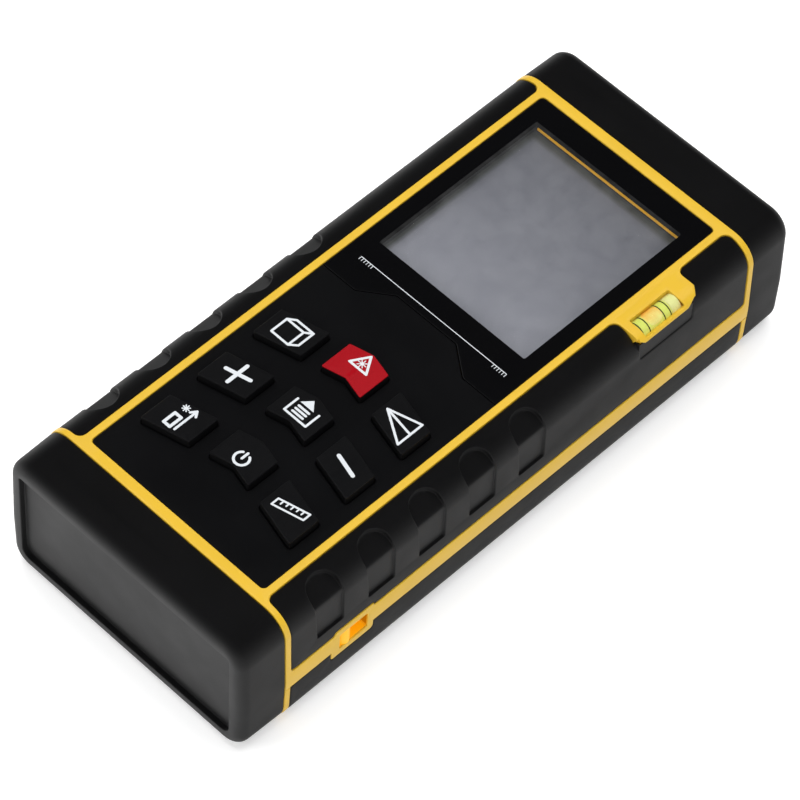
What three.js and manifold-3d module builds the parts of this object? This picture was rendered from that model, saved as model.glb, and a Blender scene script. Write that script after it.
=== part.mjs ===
// Laser distance meter, modelled as the separate pieces it comes apart into.
// Millimetres. +X is right as the display is read, +Y is towards the laser end and +Z is out of the
// display. The origin is the middle of the back face, which lies in z = 0.
import * as THREE from "three";
import { mergeVertices } from "three/addons/utils/BufferGeometryUtils.js";
import Module from "manifold-3d";

const wasm = await Module();
wasm.setup();

// ---- Driving dimensions ----

const width = 50;
const length = 116;
const height = 25.5;
const widest = 10.6; // height above the back at which the body is widest
const topDraft = 0.015;
const backDraft = 0.022;
const capTaper = 0.02;
const topRound = 4.4;
const backRound = 4.0;
const endRound = 2.0;

const skin = 1.4; // rubber and face plates, outside the hard shells
const wall = 1.2; // hard shells
const skinDrop = 0.1; // the rubber sits this far below the yellow stripes
const seam = 0.05; // clearance between neighbouring pieces
const parting = 8.7; // height of the joint between front and back shell
const outside = 40; // reach of a cutting block beyond the body

const face = {
  panelX: 18.1, // half width of the window and keypad plate
  panelY: 47.35,
  gripX: 19.4, // the long yellow stripes lie between panelX and gripX
  gripY: 48.2,
  capY: 49.25, // the end stripes lie between gripY and capY
  stripeTop: 12.5, // upper edge of the yellow stripe along each side
};
const coreEnd = 55.6; // the hard shells end here, inside the caps

const keypad = {
  width: 8.1,
  height: 5.95,
  columnX: 11.45,
  rowPitch: 11.35,
  firstRow: -10.2,
  slope: 0.25, // how fast a row falls away from the middle column
};
const keyTop = 26.7;
const keyBottom = 23.15;
const plateBottom = height - skin + seam;

const levelAt = { x: 22.3, z: 23.6, radius: 1.7, y0: 25.0, y1: 34.4 };
const vialWall = 0.4;
const mouth = { x0: 20.95, x1: 24.6, y0: 25.45, y1: 33.85 }; // opening whose lip holds the vial in
const fluidSpan = { y0: 25.65, y1: 32.0 };
const bubble = { y: 28.9, z: 23.96, radius: 0.85, straight: 1.4 };
const lug = { y0: -39.95, y1: -31.4, z0: 6.95, z1: 13.1, chamfer: 1.0, round: 0.7 };
const lugSlot = { x: 22.3, y0: -38.35, y1: -32.65, z0: 8.3, z1: 11.8 };
const lugPost = { x: 23.65, y: -36.75, radius: 1.25 };
const windowEdge = { y: 0, rise: 3.8, slopeX: 11.3, topX: 6.2 }; // its lower edge, over the measure key
const lcd = { x: 16, y0: 6.9, y1: 45.3, z0: 20.9, z1: 22.8 };
const lcdFrame = { x: 17.3, y0: 5.6, y1: 46.6 };
const backlight = { x: 15.9, y0: 9.7, y1: 45.2, z0: 19.2, z1: 20.8 };
const zebra = { x: 14, y0: 7.1, y1: 9.2 };
const mat = { x: 16.3, y0: -41, y1: -5.9, z0: 18.95, z1: 22.3, rim: 1.2, sheet: 20.9 };
const cell = { radius: 5.25, x: 5.75, z: 7.5, can: 43.6, button: 0.9 };
const bay = { x: 11.4, y0: -45.8, y1: 4.2, top: 13.4, wall: 1.2 };
const door = { x: 14.2, y0: -46.2, y1: 3.2, z0: 0.15, z1: 1.75, gap: 0.3 };
const doorTab = { x: 12.8, half: 0.9, room: 1.3, y0: 1.2, y1: 5.2, z1: 4.4, roof: 5.2 };
const board = { x: 17, y0: -45.5, y1: 50.3, z0: 17.0, z1: 18.6 };
const caseScrew = { x: 19.7, y: 44.5, seat: 3.4 };
const optics = { z: 10.6, receiverX: 5.5, laserX: -9.5 };
const bench = { y0: 16, y1: 53.8, z0: 5.0, z1: 6.6, x: 16.4, top: 16.7 };
const opticsPlate = { x: 18.3, z0: 4.0, z1: 21.0, y: 57.0, round: 2.3 };
const capRecess = { x: 22, z0: 3.1, z1: 22.4, y: -56.9, round: 0.8 };

// ---- Helpers: three.js geometry in, manifold-3d solid out ----

function solid(geometry) {
  const plain = geometry.index ? geometry.toNonIndexed() : geometry.clone();
  plain.deleteAttribute("normal");
  plain.deleteAttribute("uv");
  const merged = mergeVertices(plain, 1e-4);
  return new wasm.Manifold(
    new wasm.Mesh({
      numProp: 3,
      vertProperties: merged.attributes.position.array,
      triVerts: new Uint32Array(merged.index.array),
    }),
  );
}

const add = (first, ...others) => others.reduce((sum, other) => sum.add(other), first);
const cut = (first, ...others) => others.reduce((rest, other) => rest.subtract(other), first);

// The axes that an outline's x, its y and its extrusion run along.
const upwards = new THREE.Matrix4();
const sideways = new THREE.Matrix4().makeBasis(
  new THREE.Vector3(0, 1, 0),
  new THREE.Vector3(0, 0, 1),
  new THREE.Vector3(1, 0, 0),
);
const endways = new THREE.Matrix4().makeBasis(
  new THREE.Vector3(1, 0, 0),
  new THREE.Vector3(0, 0, 1),
  new THREE.Vector3(0, -1, 0),
);

function extruded(shape, from, to, axes = upwards, curveSegments = 4) {
  const options = { depth: to - from, bevelEnabled: false, curveSegments };
  const geometry = new THREE.ExtrudeGeometry(shape, options);
  return solid(geometry.translate(0, 0, from).applyMatrix4(axes));
}

// An outline in X and Z, extruded from y0 to y1.
const alongY = (shape, y0, y1) => extruded(shape, -y1, -y0, endways);
// An outline in Y and Z, extruded from x0 to x1.
const alongX = (shape, x0, x1) => extruded(shape, x0, x1, sideways);

function block(x0, x1, y0, y1, z0, z1) {
  const geometry = new THREE.BoxGeometry(x1 - x0, y1 - y0, z1 - z0);
  return solid(geometry.translate((x0 + x1) / 2, (y0 + y1) / 2, (z0 + z1) / 2));
}

function rounded(x0, x1, y0, y1, radius) {
  const shape = new THREE.Shape();
  shape.moveTo(x0 + radius, y0);
  shape.lineTo(x1 - radius, y0);
  shape.absarc(x1 - radius, y0 + radius, radius, -Math.PI / 2, 0);
  shape.lineTo(x1, y1 - radius);
  shape.absarc(x1 - radius, y1 - radius, radius, 0, Math.PI / 2);
  shape.lineTo(x0 + radius, y1);
  shape.absarc(x0 + radius, y1 - radius, radius, Math.PI / 2, Math.PI);
  shape.lineTo(x0, y0 + radius);
  shape.absarc(x0 + radius, y0 + radius, radius, Math.PI, Math.PI * 1.5);
  return shape;
}

const polygon = (...corners) => new THREE.Shape(corners.map(([x, y]) => new THREE.Vector2(x, y)));

function upright(radius, x, y, z0, z1, segments = 16) {
  const geometry = new THREE.CylinderGeometry(radius, radius, z1 - z0, segments).rotateX(Math.PI / 2);
  return solid(geometry.translate(x, y, (z0 + z1) / 2));
}

function endwaysRound(radius, x, z, y0, y1, segments = 20) {
  const geometry = new THREE.CylinderGeometry(radius, radius, y1 - y0, segments);
  return solid(geometry.translate(x, (y0 + y1) / 2, z));
}

// A profile of [radius, height] pairs, lowest first, turned about a line along Y or Z.
function turned(profile, segments = 20) {
  return new THREE.LatheGeometry(profile.map(([r, h]) => new THREE.Vector2(r, h)), segments);
}

// An outline carried along a smooth curve through the given points.
function swept(outline, points, steps) {
  const extrudePath = new THREE.CatmullRomCurve3(points.map((p) => new THREE.Vector3(...p)));
  return solid(new THREE.ExtrudeGeometry(outline, { steps, extrudePath, bevelEnabled: false }));
}

function wire(points, radius, steps, sides) {
  const ring = Array.from({ length: sides }, (_, i) => {
    const angle = (i / sides) * 2 * Math.PI;
    return [radius * Math.cos(angle), radius * Math.sin(angle)];
  });
  return swept(polygon(...ring), points, steps);
}

// ---- The body's outer form ----

// The cross-section in X and Z, counter-clockwise seen from -Y, pulled in by inset all round.
function section(inset) {
  const topX = width / 2 - topDraft * (height - widest) - inset;
  const backX = width / 2 - backDraft * widest - inset;
  const topR = Math.max(topRound - inset, 0.6);
  const backR = Math.max(backRound - inset, 0.6);
  const steps = 4;
  const arc = (x, z, radius, start) =>
    Array.from({ length: steps + 1 }, (_, i) => {
      const angle = start + (i / steps) * (Math.PI / 2);
      return [x + radius * Math.cos(angle), z + radius * Math.sin(angle)];
    });
  return [
    [width / 2 - inset, widest],
    ...arc(topX - topR, height - inset - topR, topR, 0),
    ...arc(topR - topX, height - inset - topR, topR, Math.PI / 2),
    [inset - width / 2, widest],
    ...arc(backR - backX, inset + backR, backR, Math.PI),
    ...arc(backX - backR, inset + backR, backR, Math.PI * 1.5),
  ];
}

// A closed skin over a row of rings with equal point counts, lowest y first.
function loft(rings) {
  const count = rings[0].length;
  const index = [];
  rings.slice(1).forEach((_, r) => {
    for (let i = 0; i < count; i++) {
      const a = r * count + i;
      const b = r * count + ((i + 1) % count);
      index.push(a, a + count, b, b, a + count, b + count);
    }
  });
  const last = (rings.length - 1) * count;
  for (let i = 1; i < count - 1; i++) {
    index.push(0, i, i + 1, last, last + i + 1, last + i);
  }
  const geometry = new THREE.BufferGeometry().setFromPoints(rings.flat());
  return solid(geometry.setIndex(index));
}

// The whole body pulled in by inset: 0 is the outer surface of the yellow stripes.
function envelope(inset) {
  const reach = length / 2 - inset;
  const round = Math.max(endRound - inset, 0.4);
  const stations = [[face.capY, inset]];
  const steps = 3;
  for (let i = 0; i <= steps; i++) {
    const angle = (i / steps) * (Math.PI / 2);
    const y = reach - round + round * Math.sin(angle);
    stations.push([y, inset + round * (1 - Math.cos(angle)) + capTaper * (y - face.capY)]);
  }
  const mirrored = stations.map(([y, pull]) => [-y, pull]).reverse();
  const ring = ([y, pull]) => section(pull).map(([x, z]) => new THREE.Vector3(x, y, z));
  return loft([...mirrored, ...stations].map(ring));
}

const lengthwise = (y0, y1) => block(-outside, outside, y0, y1, -outside, outside);
const heights = (z0, z1) => block(-outside, outside, -100, 100, z0, z1);

const outer = envelope(0);
const core = envelope(skin).intersect(lengthwise(-coreEnd, coreEnd));
const cavity = envelope(skin + wall).intersect(lengthwise(-coreEnd + wall, coreEnd - wall));
const underSkin = envelope(skin - seam);
const skinLayer = envelope(skinDrop).subtract(underSkin);

// ---- Regions of the surface that each outer piece covers ----

function panelRegion(margin) {
  const x = face.panelX - margin;
  const y = face.panelY - margin;
  return extruded(rounded(-x, x, -y, y, 0.8), 20, outside);
}

// The lug's outline in Y and Z, with one corner chamfered and the opposite one rounded.
function lugRegion(margin) {
  const y0 = lug.y0 - margin;
  const y1 = lug.y1 + margin;
  const z0 = lug.z0 - margin;
  const z1 = lug.z1 + margin;
  const shape = new THREE.Shape();
  shape.moveTo(y0, z0);
  shape.lineTo(y1 - lug.round, z0);
  shape.absarc(y1 - lug.round, z0 + lug.round, lug.round, -Math.PI / 2, 0);
  shape.lineTo(y1, z1);
  shape.lineTo(y0 + lug.chamfer, z1);
  shape.lineTo(y0, z1 - lug.chamfer);
  return alongX(shape, 20, outside);
}

// The level housing's plan: a boat shape beside the display, chamfered at its far end.
const pod = {
  x: 24.95,
  y0: 23.85,
  y1: 37.4,
  rim: 24.0, // underside of the part that stands clear of the shoulder
  inner: 24.25, // outer side of the trough's wall, under the rim
  floor: 20.3,
  corner: 0.75, // how far the ends are cut back at the outer side
  step: 0.35,
};

// The housing's outer edge, from its near end to its chamfered far end.
const podEdge = (margin) => [
  [pod.x - pod.corner + margin, pod.y0 - margin],
  [pod.x - pod.corner + margin, pod.y0 - margin + pod.step],
  [pod.x - 0.35, pod.y0 - margin + pod.step],
  [pod.x + margin, pod.y0 + 1.1],
  [pod.x + margin, pod.y1 - 3.1],
  [pod.x - pod.corner + margin, pod.y1 - 0.9 + margin],
  [pod.x - 1.95, pod.y1 + margin],
];

function gripPlan(margin) {
  const x = face.gripX + margin;
  const y = face.gripY - margin;
  const r = 1.3;
  const podStart = pod.y0 - margin;
  const podEnd = pod.y1 + margin;
  const shape = new THREE.Shape();
  shape.moveTo(outside, -y);
  shape.lineTo(x + r, -y);
  shape.absarc(x + r, -y + r, r, Math.PI * 1.5, Math.PI, true);
  shape.lineTo(x, podStart - r);
  shape.absarc(x + r, podStart - r, r, Math.PI, Math.PI / 2, true);
  podEdge(margin).forEach(([edgeX, edgeY]) => shape.lineTo(edgeX, edgeY));
  shape.lineTo(x + r, podEnd);
  shape.absarc(x + r, podEnd + r, r, Math.PI * 1.5, Math.PI, true);
  shape.lineTo(x, y - r);
  shape.absarc(x + r, y - r, r, Math.PI, Math.PI / 2, true);
  shape.lineTo(outside, y);
  return shape;
}

function gripSide(margin) {
  const y = face.gripY - margin;
  return alongX(rounded(-y, y, face.stripeTop + margin, outside, 0.8), -outside, outside);
}

function rightGripRegion(margin) {
  const besideLevel = extruded(gripPlan(margin), 0, outside);
  const underLevel = block(pod.x - 3, outside, pod.y0 - 1, pod.y1 + 1, 0, pod.rim - margin);
  return besideLevel.add(underLevel).intersect(gripSide(margin)).subtract(lugRegion(margin));
}

function leftGripRegion(margin) {
  const plan = rounded(-outside, -face.gripX - margin, -face.gripY + margin, face.gripY - margin, 1.3);
  return extruded(plan, 0, outside).intersect(gripSide(margin));
}

function backRegion(margin) {
  const y = face.gripY - margin;
  const band = alongX(rounded(-y, y, -outside, parting - margin, 0.8), -outside, outside);
  return band.subtract(lugRegion(margin));
}

// ---- Yellow shells ----

// The level housing: a rim that stands clear of the shoulder, on a pod that holds the vial.
function levelHousing() {
  const root = face.gripX - 1;
  const plan = polygon([root, pod.y0], ...podEdge(0), [root, pod.y1]);
  const profile = new THREE.Shape();
  profile.moveTo(root, pod.rim);
  profile.lineTo(pod.x, pod.rim);
  profile.lineTo(pod.x, pod.rim + 0.25);
  profile.quadraticCurveTo(pod.x - 0.6, height, pod.x - 2.6, height);
  profile.lineTo(root, height);
  const rim = alongY(profile, pod.y0, pod.y1).intersect(extruded(plan, 20, 30));
  return rim.add(block(root, pod.inner, pod.y0 + 0.6, pod.y1 - 0.4, pod.floor, pod.rim + 0.2));
}

// The trough that the vial lies in, with its mouth.
function levelTrough() {
  const { x, z, y0, y1 } = levelAt;
  const radius = levelAt.radius + seam;
  return add(
    endwaysRound(radius, x, z, y0 - seam, y1 + seam, 20),
    block(mouth.x0, x + radius, mouth.y0, mouth.y1, z, height + 1),
    block(mouth.x0, mouth.x1, mouth.y0, mouth.y1, pod.rim + 0.3, height + 1),
  );
}

const lugBlock = (margin) => lugRegion(margin).intersect(block(20.2, outside, -60, 0, 0, 20));

// The strap is threaded round a post inside this pocket.
function lugPocket() {
  const opening = rounded(lugSlot.y0, lugSlot.y1, lugSlot.z0, lugSlot.z1, 0.3);
  const post = upright(lugPost.radius, lugPost.x, lugPost.y, lug.z0, lug.z1, 14);
  return alongX(opening, lugSlot.x, outside).subtract(post);
}

const yellowSkin = cut(
  outer.intersect(lengthwise(-face.capY, face.capY)),
  panelRegion(0),
  leftGripRegion(0),
  rightGripRegion(0),
  backRegion(0),
);
const yellowBody = core.add(yellowSkin);

const caseScrewPlaces = [
  [-caseScrew.x, -caseScrew.y],
  [-caseScrew.x, caseScrew.y],
  [caseScrew.x, -caseScrew.y],
  [caseScrew.x, caseScrew.y],
];
const boardPosts = [
  [13.5, -43.6],
  [-13.5, 48.6],
];

function frontShell() {
  const innerTop = height - skin - wall;
  const bosses = caseScrewPlaces.map(([x, y]) => upright(2.2, x, y, parting, innerTop + 0.4, 14));
  const posts = boardPosts.map(([x, y]) => upright(2.0, x, y, board.z1 + seam, innerTop + 0.4, 12));
  const shell = add(
    yellowBody.subtract(cavity).intersect(heights(parting, outside)),
    levelHousing(),
    lugBlock(0).intersect(outer),
    ...bosses,
    ...posts,
  );
  return cut(
    shell,
    levelTrough(),
    lugPocket(),
    extruded(rounded(0.5 - lcd.x, lcd.x - 0.5, lcd.y0 + 1.8, lcd.y1 - 2, 0.6), 20, outside),
    extruded(rounded(-mat.x - 0.3, mat.x + 0.3, mat.y0 - 0.2, mat.y1 + 0.3, 2), 20, outside),
    ...caseScrewPlaces.map(([x, y]) => upright(1.0, x, y, 0, 15.4, 10)),
    ...boardPosts.map(([x, y]) => upright(0.85, x, y, 0, 22, 10)),
    opticsPorts(),
  );
}

// Round ways through the laser end of both shells.
function opticsPorts() {
  const receiver = endwaysRound(6.0, optics.receiverX, optics.z, coreEnd - 2, outside + 30, 24);
  const laser = endwaysRound(3.4, optics.laserX, optics.z, coreEnd - 2, outside + 30, 16);
  return receiver.add(laser);
}

const rimTop = 3.4;

function doorOpening(gap) {
  const shape = rounded(-door.x - gap, door.x + gap, door.y0 - gap, door.y1 + gap, 1.0);
  return extruded(shape, -outside, door.z1 + 0.15);
}

// Room inside the shell for the door's tabs, which swing up and back as it opens.
function tabSlots() {
  const slots = [-1, 1].map((side) => {
    const x0 = side * doorTab.x - doorTab.room;
    const x1 = side * doorTab.x + doorTab.room;
    const besideDoor = block(x0, x1, -1.8, door.y1 + door.gap, door.z1, doorTab.roof);
    const overRim = block(x0, x1, 0, doorTab.y1 + 0.6, rimTop, doorTab.roof);
    return besideDoor.add(overRim);
  });
  return add(...slots);
}

// The box that holds the cells, open at the back.
function bayTray() {
  const x = bay.x + bay.wall;
  return block(-x, x, bay.y0 - bay.wall, bay.y1 + bay.wall, skin, bay.top + 1);
}

function backShell() {
  const rim = block(-door.x - 1.5, door.x + 1.5, door.y0 - 1.3, door.y1 + 3.4, skin, rimTop);
  const wells = caseScrewPlaces.map(([x, y]) => upright(3.1, x, y, skin, parting - seam, 14));
  const benchPosts = benchScrewPlaces.map(([x, y]) => upright(2.4, x, y, skin, bench.z0 - seam, 12));
  const shell = add(
    yellowBody.subtract(cavity).intersect(heights(-outside, parting - seam)),
    bayTray(),
    rim,
    add(...wells).intersect(core),
    ...benchPosts,
  );
  return cut(
    shell,
    block(-bay.x, bay.x, bay.y0, bay.y1, 0, bay.top),
    doorOpening(door.gap),
    tabSlots(),
    lugBlock(seam),
    opticsPorts(),
    ...caseScrewPlaces.map(([x, y]) => upright(2.4, x, y, -1, caseScrew.seat, 16)),
    ...caseScrewPlaces.map(([x, y]) => upright(1.2, x, y, 0, parting, 10)),
    ...leadPlaces.map(([x, y]) => upright(0.9, x, y, bay.top - 1, bay.top + 2, 10)),
    ...benchScrewPlaces.map(([x, y]) => upright(0.95, x, y, skin + 0.9, bench.z0, 10)),
  );
}

// ---- Rubber grips, back overmould and end caps ----

const notch = {
  first: -40.4,
  pitch: 10.4,
  count: 5,
  halfWidth: 2.85,
  bottom: 15.5,
  floorX: 24.35, // the upright part of its floor
  crease: 22.6, // height at which the floor turns in over the shoulder
  start: 20.8, // X at which its half-round end begins
  startZ: 24.7, // height of the sloping floor there
};

// The solid that the notches leave: an upright floor on each side and a flat slope above it.
function notchFloors() {
  const slope = (notch.startZ - notch.crease) / (notch.floorX - notch.start);
  const ridgeX = 10;
  const ridgeZ = notch.startZ + slope * (notch.start - ridgeX);
  const outline = polygon(
    [-notch.floorX, -1],
    [notch.floorX, -1],
    [notch.floorX, notch.crease],
    [ridgeX, ridgeZ],
    [-ridgeX, ridgeZ],
    [-notch.floorX, notch.crease],
  );
  return alongY(outline, -length, length);
}

function notches(side) {
  const places = Array.from({ length: notch.count }, (_, i) => notch.first + i * notch.pitch);
  const half = notch.halfWidth;
  const cutters = places.map((y) => {
    const plan = new THREE.Shape();
    plan.moveTo(side * outside, y - side * half);
    plan.lineTo(side * outside, y + side * half);
    plan.lineTo(side * (notch.start + half), y + side * half);
    const from = side > 0 ? Math.PI / 2 : -Math.PI / 2;
    plan.absarc(side * (notch.start + half), y, half, from, from + Math.PI);
    plan.lineTo(side * outside, y - side * half);
    return extruded(plan, notch.bottom, outside, upwards, 6);
  });
  return add(...cutters).subtract(notchFloors());
}

function rightGrip() {
  const skinPart = skinLayer.intersect(rightGripRegion(seam)).subtract(notches(1));
  const pocketX = 24.5;
  const pocket = block(pocketX, outside, pod.y0 + 1.5, pod.y1 - 0.2, 20.5, outside);
  const podRoom = block(0, pod.inner + seam, pod.y0 + 0.55, pod.y1 - 0.35, pod.floor - seam, outside);
  const pocketFloor = block(pod.inner + seam, pocketX, pod.y0 + 0.5, pod.y1, 20.0, pod.rim - seam);
  return skinPart.subtract(pocket).subtract(podRoom).add(pocketFloor);
}

const leftGrip = () => skinLayer.intersect(leftGripRegion(seam)).subtract(notches(-1));

// It reaches the full depth of the body, because the meter rests on it.
function backOvermould() {
  return cut(
    outer.intersect(backRegion(seam)),
    underSkin,
    doorOpening(door.gap),
    ...caseScrewPlaces.map(([x, y]) => upright(2.7, x, y, -1, skin + 1, 16)),
  );
}

function endCap(side) {
  const reach = side > 0 ? lengthwise(face.capY + seam, 100) : lengthwise(-100, -face.capY - seam);
  const plug = envelope(skin - seam).intersect(lengthwise(-coreEnd - seam, coreEnd + seam));
  return envelope(skinDrop).intersect(reach).subtract(plug);
}

function bottomEndCap() {
  const outline = rounded(-capRecess.x, capRecess.x, capRecess.z0, capRecess.z1, capRecess.round);
  return endCap(-1).subtract(alongY(outline, -length, capRecess.y));
}

// The optics window plate's outline, grown by margin all round.
function opticsOutline(margin) {
  const { x, z0, z1, round } = opticsPlate;
  return rounded(-x - margin, x + margin, z0 - margin, z1 + margin, round + margin);
}

const laserEndCap = () => endCap(1).subtract(alongY(opticsOutline(0.2), 50, 60));

function opticsWindowPlate() {
  const plate = alongY(opticsOutline(0), coreEnd + seam, opticsPlate.y);
  const receiver = endwaysRound(5.8, optics.receiverX, optics.z, 50, 60, 28);
  const laserSeat = endwaysRound(2.7, optics.laserX, optics.z, 50, 56.6, 16);
  const laserPort = endwaysRound(1.8, optics.laserX, optics.z, 50, 60, 16);
  return cut(plate, receiver, laserSeat, laserPort);
}

const laserWindow = () => endwaysRound(2.65, optics.laserX, optics.z, 55.7, 56.55, 16);

// ---- Bubble level ----

const bore = levelAt.radius - vialWall;

function levelVial() {
  const { x, z, radius, y0, y1 } = levelAt;
  const hollow = endwaysRound(bore, x, z, fluidSpan.y0 - seam, y1 + 1, 20);
  return endwaysRound(radius, x, z, y0, y1, 24).subtract(hollow);
}

// The fluid has a groove along its top, which is the room the bubble slides in.
function levelFluid() {
  const { y0, y1 } = fluidSpan;
  const fluid = endwaysRound(bore - seam, levelAt.x, levelAt.z, y0, y1, 20);
  const groove = endwaysRound(bubble.radius + 0.12, levelAt.x, bubble.z + 0.02, y0 + 0.2, y1 - 0.2, 16);
  return fluid.subtract(groove);
}

function levelBubble() {
  const geometry = new THREE.CapsuleGeometry(bubble.radius, bubble.straight, 4, 12);
  return solid(geometry.translate(levelAt.x, bubble.y, bubble.z));
}

function levelPlug() {
  return endwaysRound(bore - seam, levelAt.x, levelAt.z, fluidSpan.y1 + seam, levelAt.y1 - seam, 20);
}

// ---- Display ----

// The face below the window: its upper edge steps up over the measure key.
function belowWindow(margin) {
  const y = windowEdge.y - margin;
  const topY = windowEdge.rise - margin;
  const left = [
    [-outside, -length],
    [-outside, y],
    [margin / 2 - windowEdge.slopeX, y],
    [margin / 2 - windowEdge.topX, topY],
  ];
  const right = left.map(([cornerX, cornerY]) => [-cornerX, cornerY]).reverse();
  return extruded(polygon(...left, ...right), 0, outside);
}

function displayWindow() {
  const sheet = panelRegion(seam).intersect(heights(plateBottom, height));
  return sheet.subtract(belowWindow(0));
}

const slab = ({ x, y0, y1, z0, z1 }) => block(-x, x, y0, y1, z0, z1);
const lcdGlass = () => slab(lcd);
const lcdBacklight = () => slab(backlight);
const zebraStrip = () => slab({ ...zebra, z0: board.z1 + seam, z1: backlight.z1 });

function lcdHolder() {
  const frame = rounded(-lcdFrame.x, lcdFrame.x, lcdFrame.y0, lcdFrame.y1, 0.8);
  return cut(
    extruded(frame, board.z1 + seam, lcd.z1),
    slab({ x: lcd.x + 0.2, y0: lcd.y0 - 0.2, y1: lcd.y1 + 0.2, z0: backlight.z0 - 0.1, z1: 30 }),
    slab({ x: zebra.x + 0.3, y0: zebra.y0 - 0.3, y1: zebra.y1 + 0.3, z0: 10, z1: 30 }),
  );
}

// ---- Keypad ----

const middleOf = (row, x) => keypad.firstRow - row * keypad.rowPitch - keypad.slope * Math.abs(x);

// Every key is a slice of a chevron band, so the middle keys point up and the outer ones slope.
function keyOutline(row, column, margin) {
  const centre = column * keypad.columnX;
  const half = keypad.width / 2 + margin;
  const rise = keypad.height / 2 + margin;
  const stations = column === 0 ? [-half, 0, half] : [centre - half, centre + half];
  const lower = stations.map((x) => [x, middleOf(row, x) - rise]);
  const upper = stations.map((x) => [x, middleOf(row, x) + rise]).reverse();
  return polygon(...lower, ...upper);
}

const key = (row, column) =>
  extruded(keyOutline(row, column, 0), keyBottom, keyTop).add(
    extruded(keyOutline(row, column, 0.5), keyBottom, plateBottom - 0.1),
  );

const keyPlaces = [0, 1, 2].flatMap((row) => [-1, 0, 1].map((column) => [row, column]));

function keypadPlate() {
  const sheet = panelRegion(seam).intersect(heights(plateBottom, height - skinDrop));
  const holes = keyPlaces.map(([row, column]) => extruded(keyOutline(row, column, 0.2), 0, outside));
  return cut(sheet.intersect(belowWindow(2 * seam)), ...holes);
}

// A rubber mat whose rim stands on the dome sheet.
function keypadMat() {
  const sheet = extruded(rounded(-mat.x, mat.x, mat.y0, mat.y1, 1.8), mat.z0, mat.z1);
  const innerX = mat.x - mat.rim;
  const hollow = rounded(-innerX, innerX, mat.y0 + mat.rim, mat.y1 - mat.rim, 1);
  return sheet.subtract(extruded(hollow, 10, mat.sheet));
}

function domeSheet() {
  const dome = new THREE.SphereGeometry(4.6, 10, 12);
  const domes = keyPlaces.map(([row, column]) => {
    const x = column * keypad.columnX;
    const ball = solid(dome.clone().rotateX(Math.PI / 2).translate(x, middleOf(row, x), 14.9));
    return ball.intersect(heights(18.7, 30));
  });
  return add(block(-14.8, 14.8, -39.5, -7.4, board.z1 + seam, 18.85), ...domes);
}

// ---- Electronics ----

function mainBoard() {
  const plate = extruded(rounded(-board.x, board.x, board.y0, board.y1, 1.5), board.z0, board.z1);
  return cut(plate, ...boardPosts.map(([x, y]) => upright(1.1, x, y, 0, 30, 12)));
}

const processorChip = () => block(-5, 5, -16, -6, board.z0 - 1.4, board.z0 - seam);

function buzzer() {
  const top = board.z0 - seam;
  const profile = [
    [0, top - 3.05],
    [4.2, top - 3.05],
    [4.5, top - 2.75],
    [4.5, top],
    [0, top],
  ];
  return solid(turned(profile).rotateX(Math.PI / 2).translate(-11, 11, 0));
}

// ---- Optics ----

const benchScrewPlaces = [
  [-14.2, 22],
  [14.2, 44],
];

// One die-cast frame: a floor, a front wall with two bores, a laser sleeve and a detector wall.
function opticsBench() {
  const frame = add(
    block(-bench.x, bench.x, bench.y0, bench.y1, bench.z0, bench.z1),
    block(-bench.x, bench.x, 50.5, bench.y1, bench.z0, bench.top),
    block(-14, -5, 36, 51, bench.z0, 15.4),
    block(-3, 14, bench.y0, 19, bench.z0, bench.top),
    block(-3.5, -2, bench.y0, 51, bench.z0, 14),
  );
  return cut(
    frame,
    endwaysRound(5.6, optics.receiverX, optics.z, 45, 60, 28),
    endwaysRound(3.6, optics.laserX, optics.z, 30, 60, 20),
    endwaysRound(2.7, optics.receiverX, optics.z, 10, 25, 16),
    ...benchScrewPlaces.map(([x, y]) => upright(1.2, x, y, 0, 10, 12)),
  );
}

// A turned piece lying along Y at the given place, its profile's heights being y.
const lyingAt = (x, profile, segments) => solid(turned(profile, segments).translate(x, 0, optics.z));

// A can with a flange at its back end.
function can(x, flangeRadius, radius, back, flangeFront, front) {
  const profile = [
    [0, back],
    [flangeRadius, back],
    [flangeRadius, flangeFront],
    [radius, flangeFront],
    [radius, front],
    [0, front],
  ];
  return lyingAt(x, profile, 18);
}

function laserDiode() {
  const pins = [-1.2, 0, 1.2].map((x) => endwaysRound(0.25, optics.laserX + x, optics.z, 31.5, 37.2, 6));
  return add(can(optics.laserX, 2.75, 2.35, 37, 38.2, 40.6), ...pins);
}

function collimatorBarrel() {
  const barrel = endwaysRound(3.5, optics.laserX, optics.z, 36.8, 51.5, 24);
  return barrel.subtract(endwaysRound(2.85, optics.laserX, optics.z, 30, 60, 20));
}

// A lens lying along Y: one domed face towards the laser end, and a flat or domed back.
function lens(x, radius, back, edge, bulge, backBulge) {
  const steps = 3;
  const dome = (sign, depth) =>
    Array.from({ length: steps + 1 }, (_, i) => {
      const r = (radius * i) / steps;
      return [r, sign * depth * (1 - (r / radius) ** 2)];
    });
  const lower = dome(-1, backBulge).map(([r, h]) => [r, back + h]);
  const upper = dome(1, bulge).map(([r, h]) => [r, back + edge + h]).reverse();
  return lyingAt(x, [...lower, ...upper], 18);
}

const collimatorLens = () => lens(optics.laserX, 2.8, 47.5, 0.8, 1.0, 0.05);
const receiverLens = () => lens(optics.receiverX, 5.5, 51.6, 1.2, 1.4, 0.6);

function photodiode() {
  const pins = [-1, 1].map((x) => endwaysRound(0.25, optics.receiverX + x, optics.z, 12.6, 15.5, 6));
  return add(can(optics.receiverX, 2.6, 1.8, 15.3, 18, 18.9), ...pins);
}

function receiverFilter() {
  const half = 2.8;
  const { receiverX: x, z } = optics;
  return block(x - half, x + half, 19.1, 20.1, z - half, z + half);
}

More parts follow.
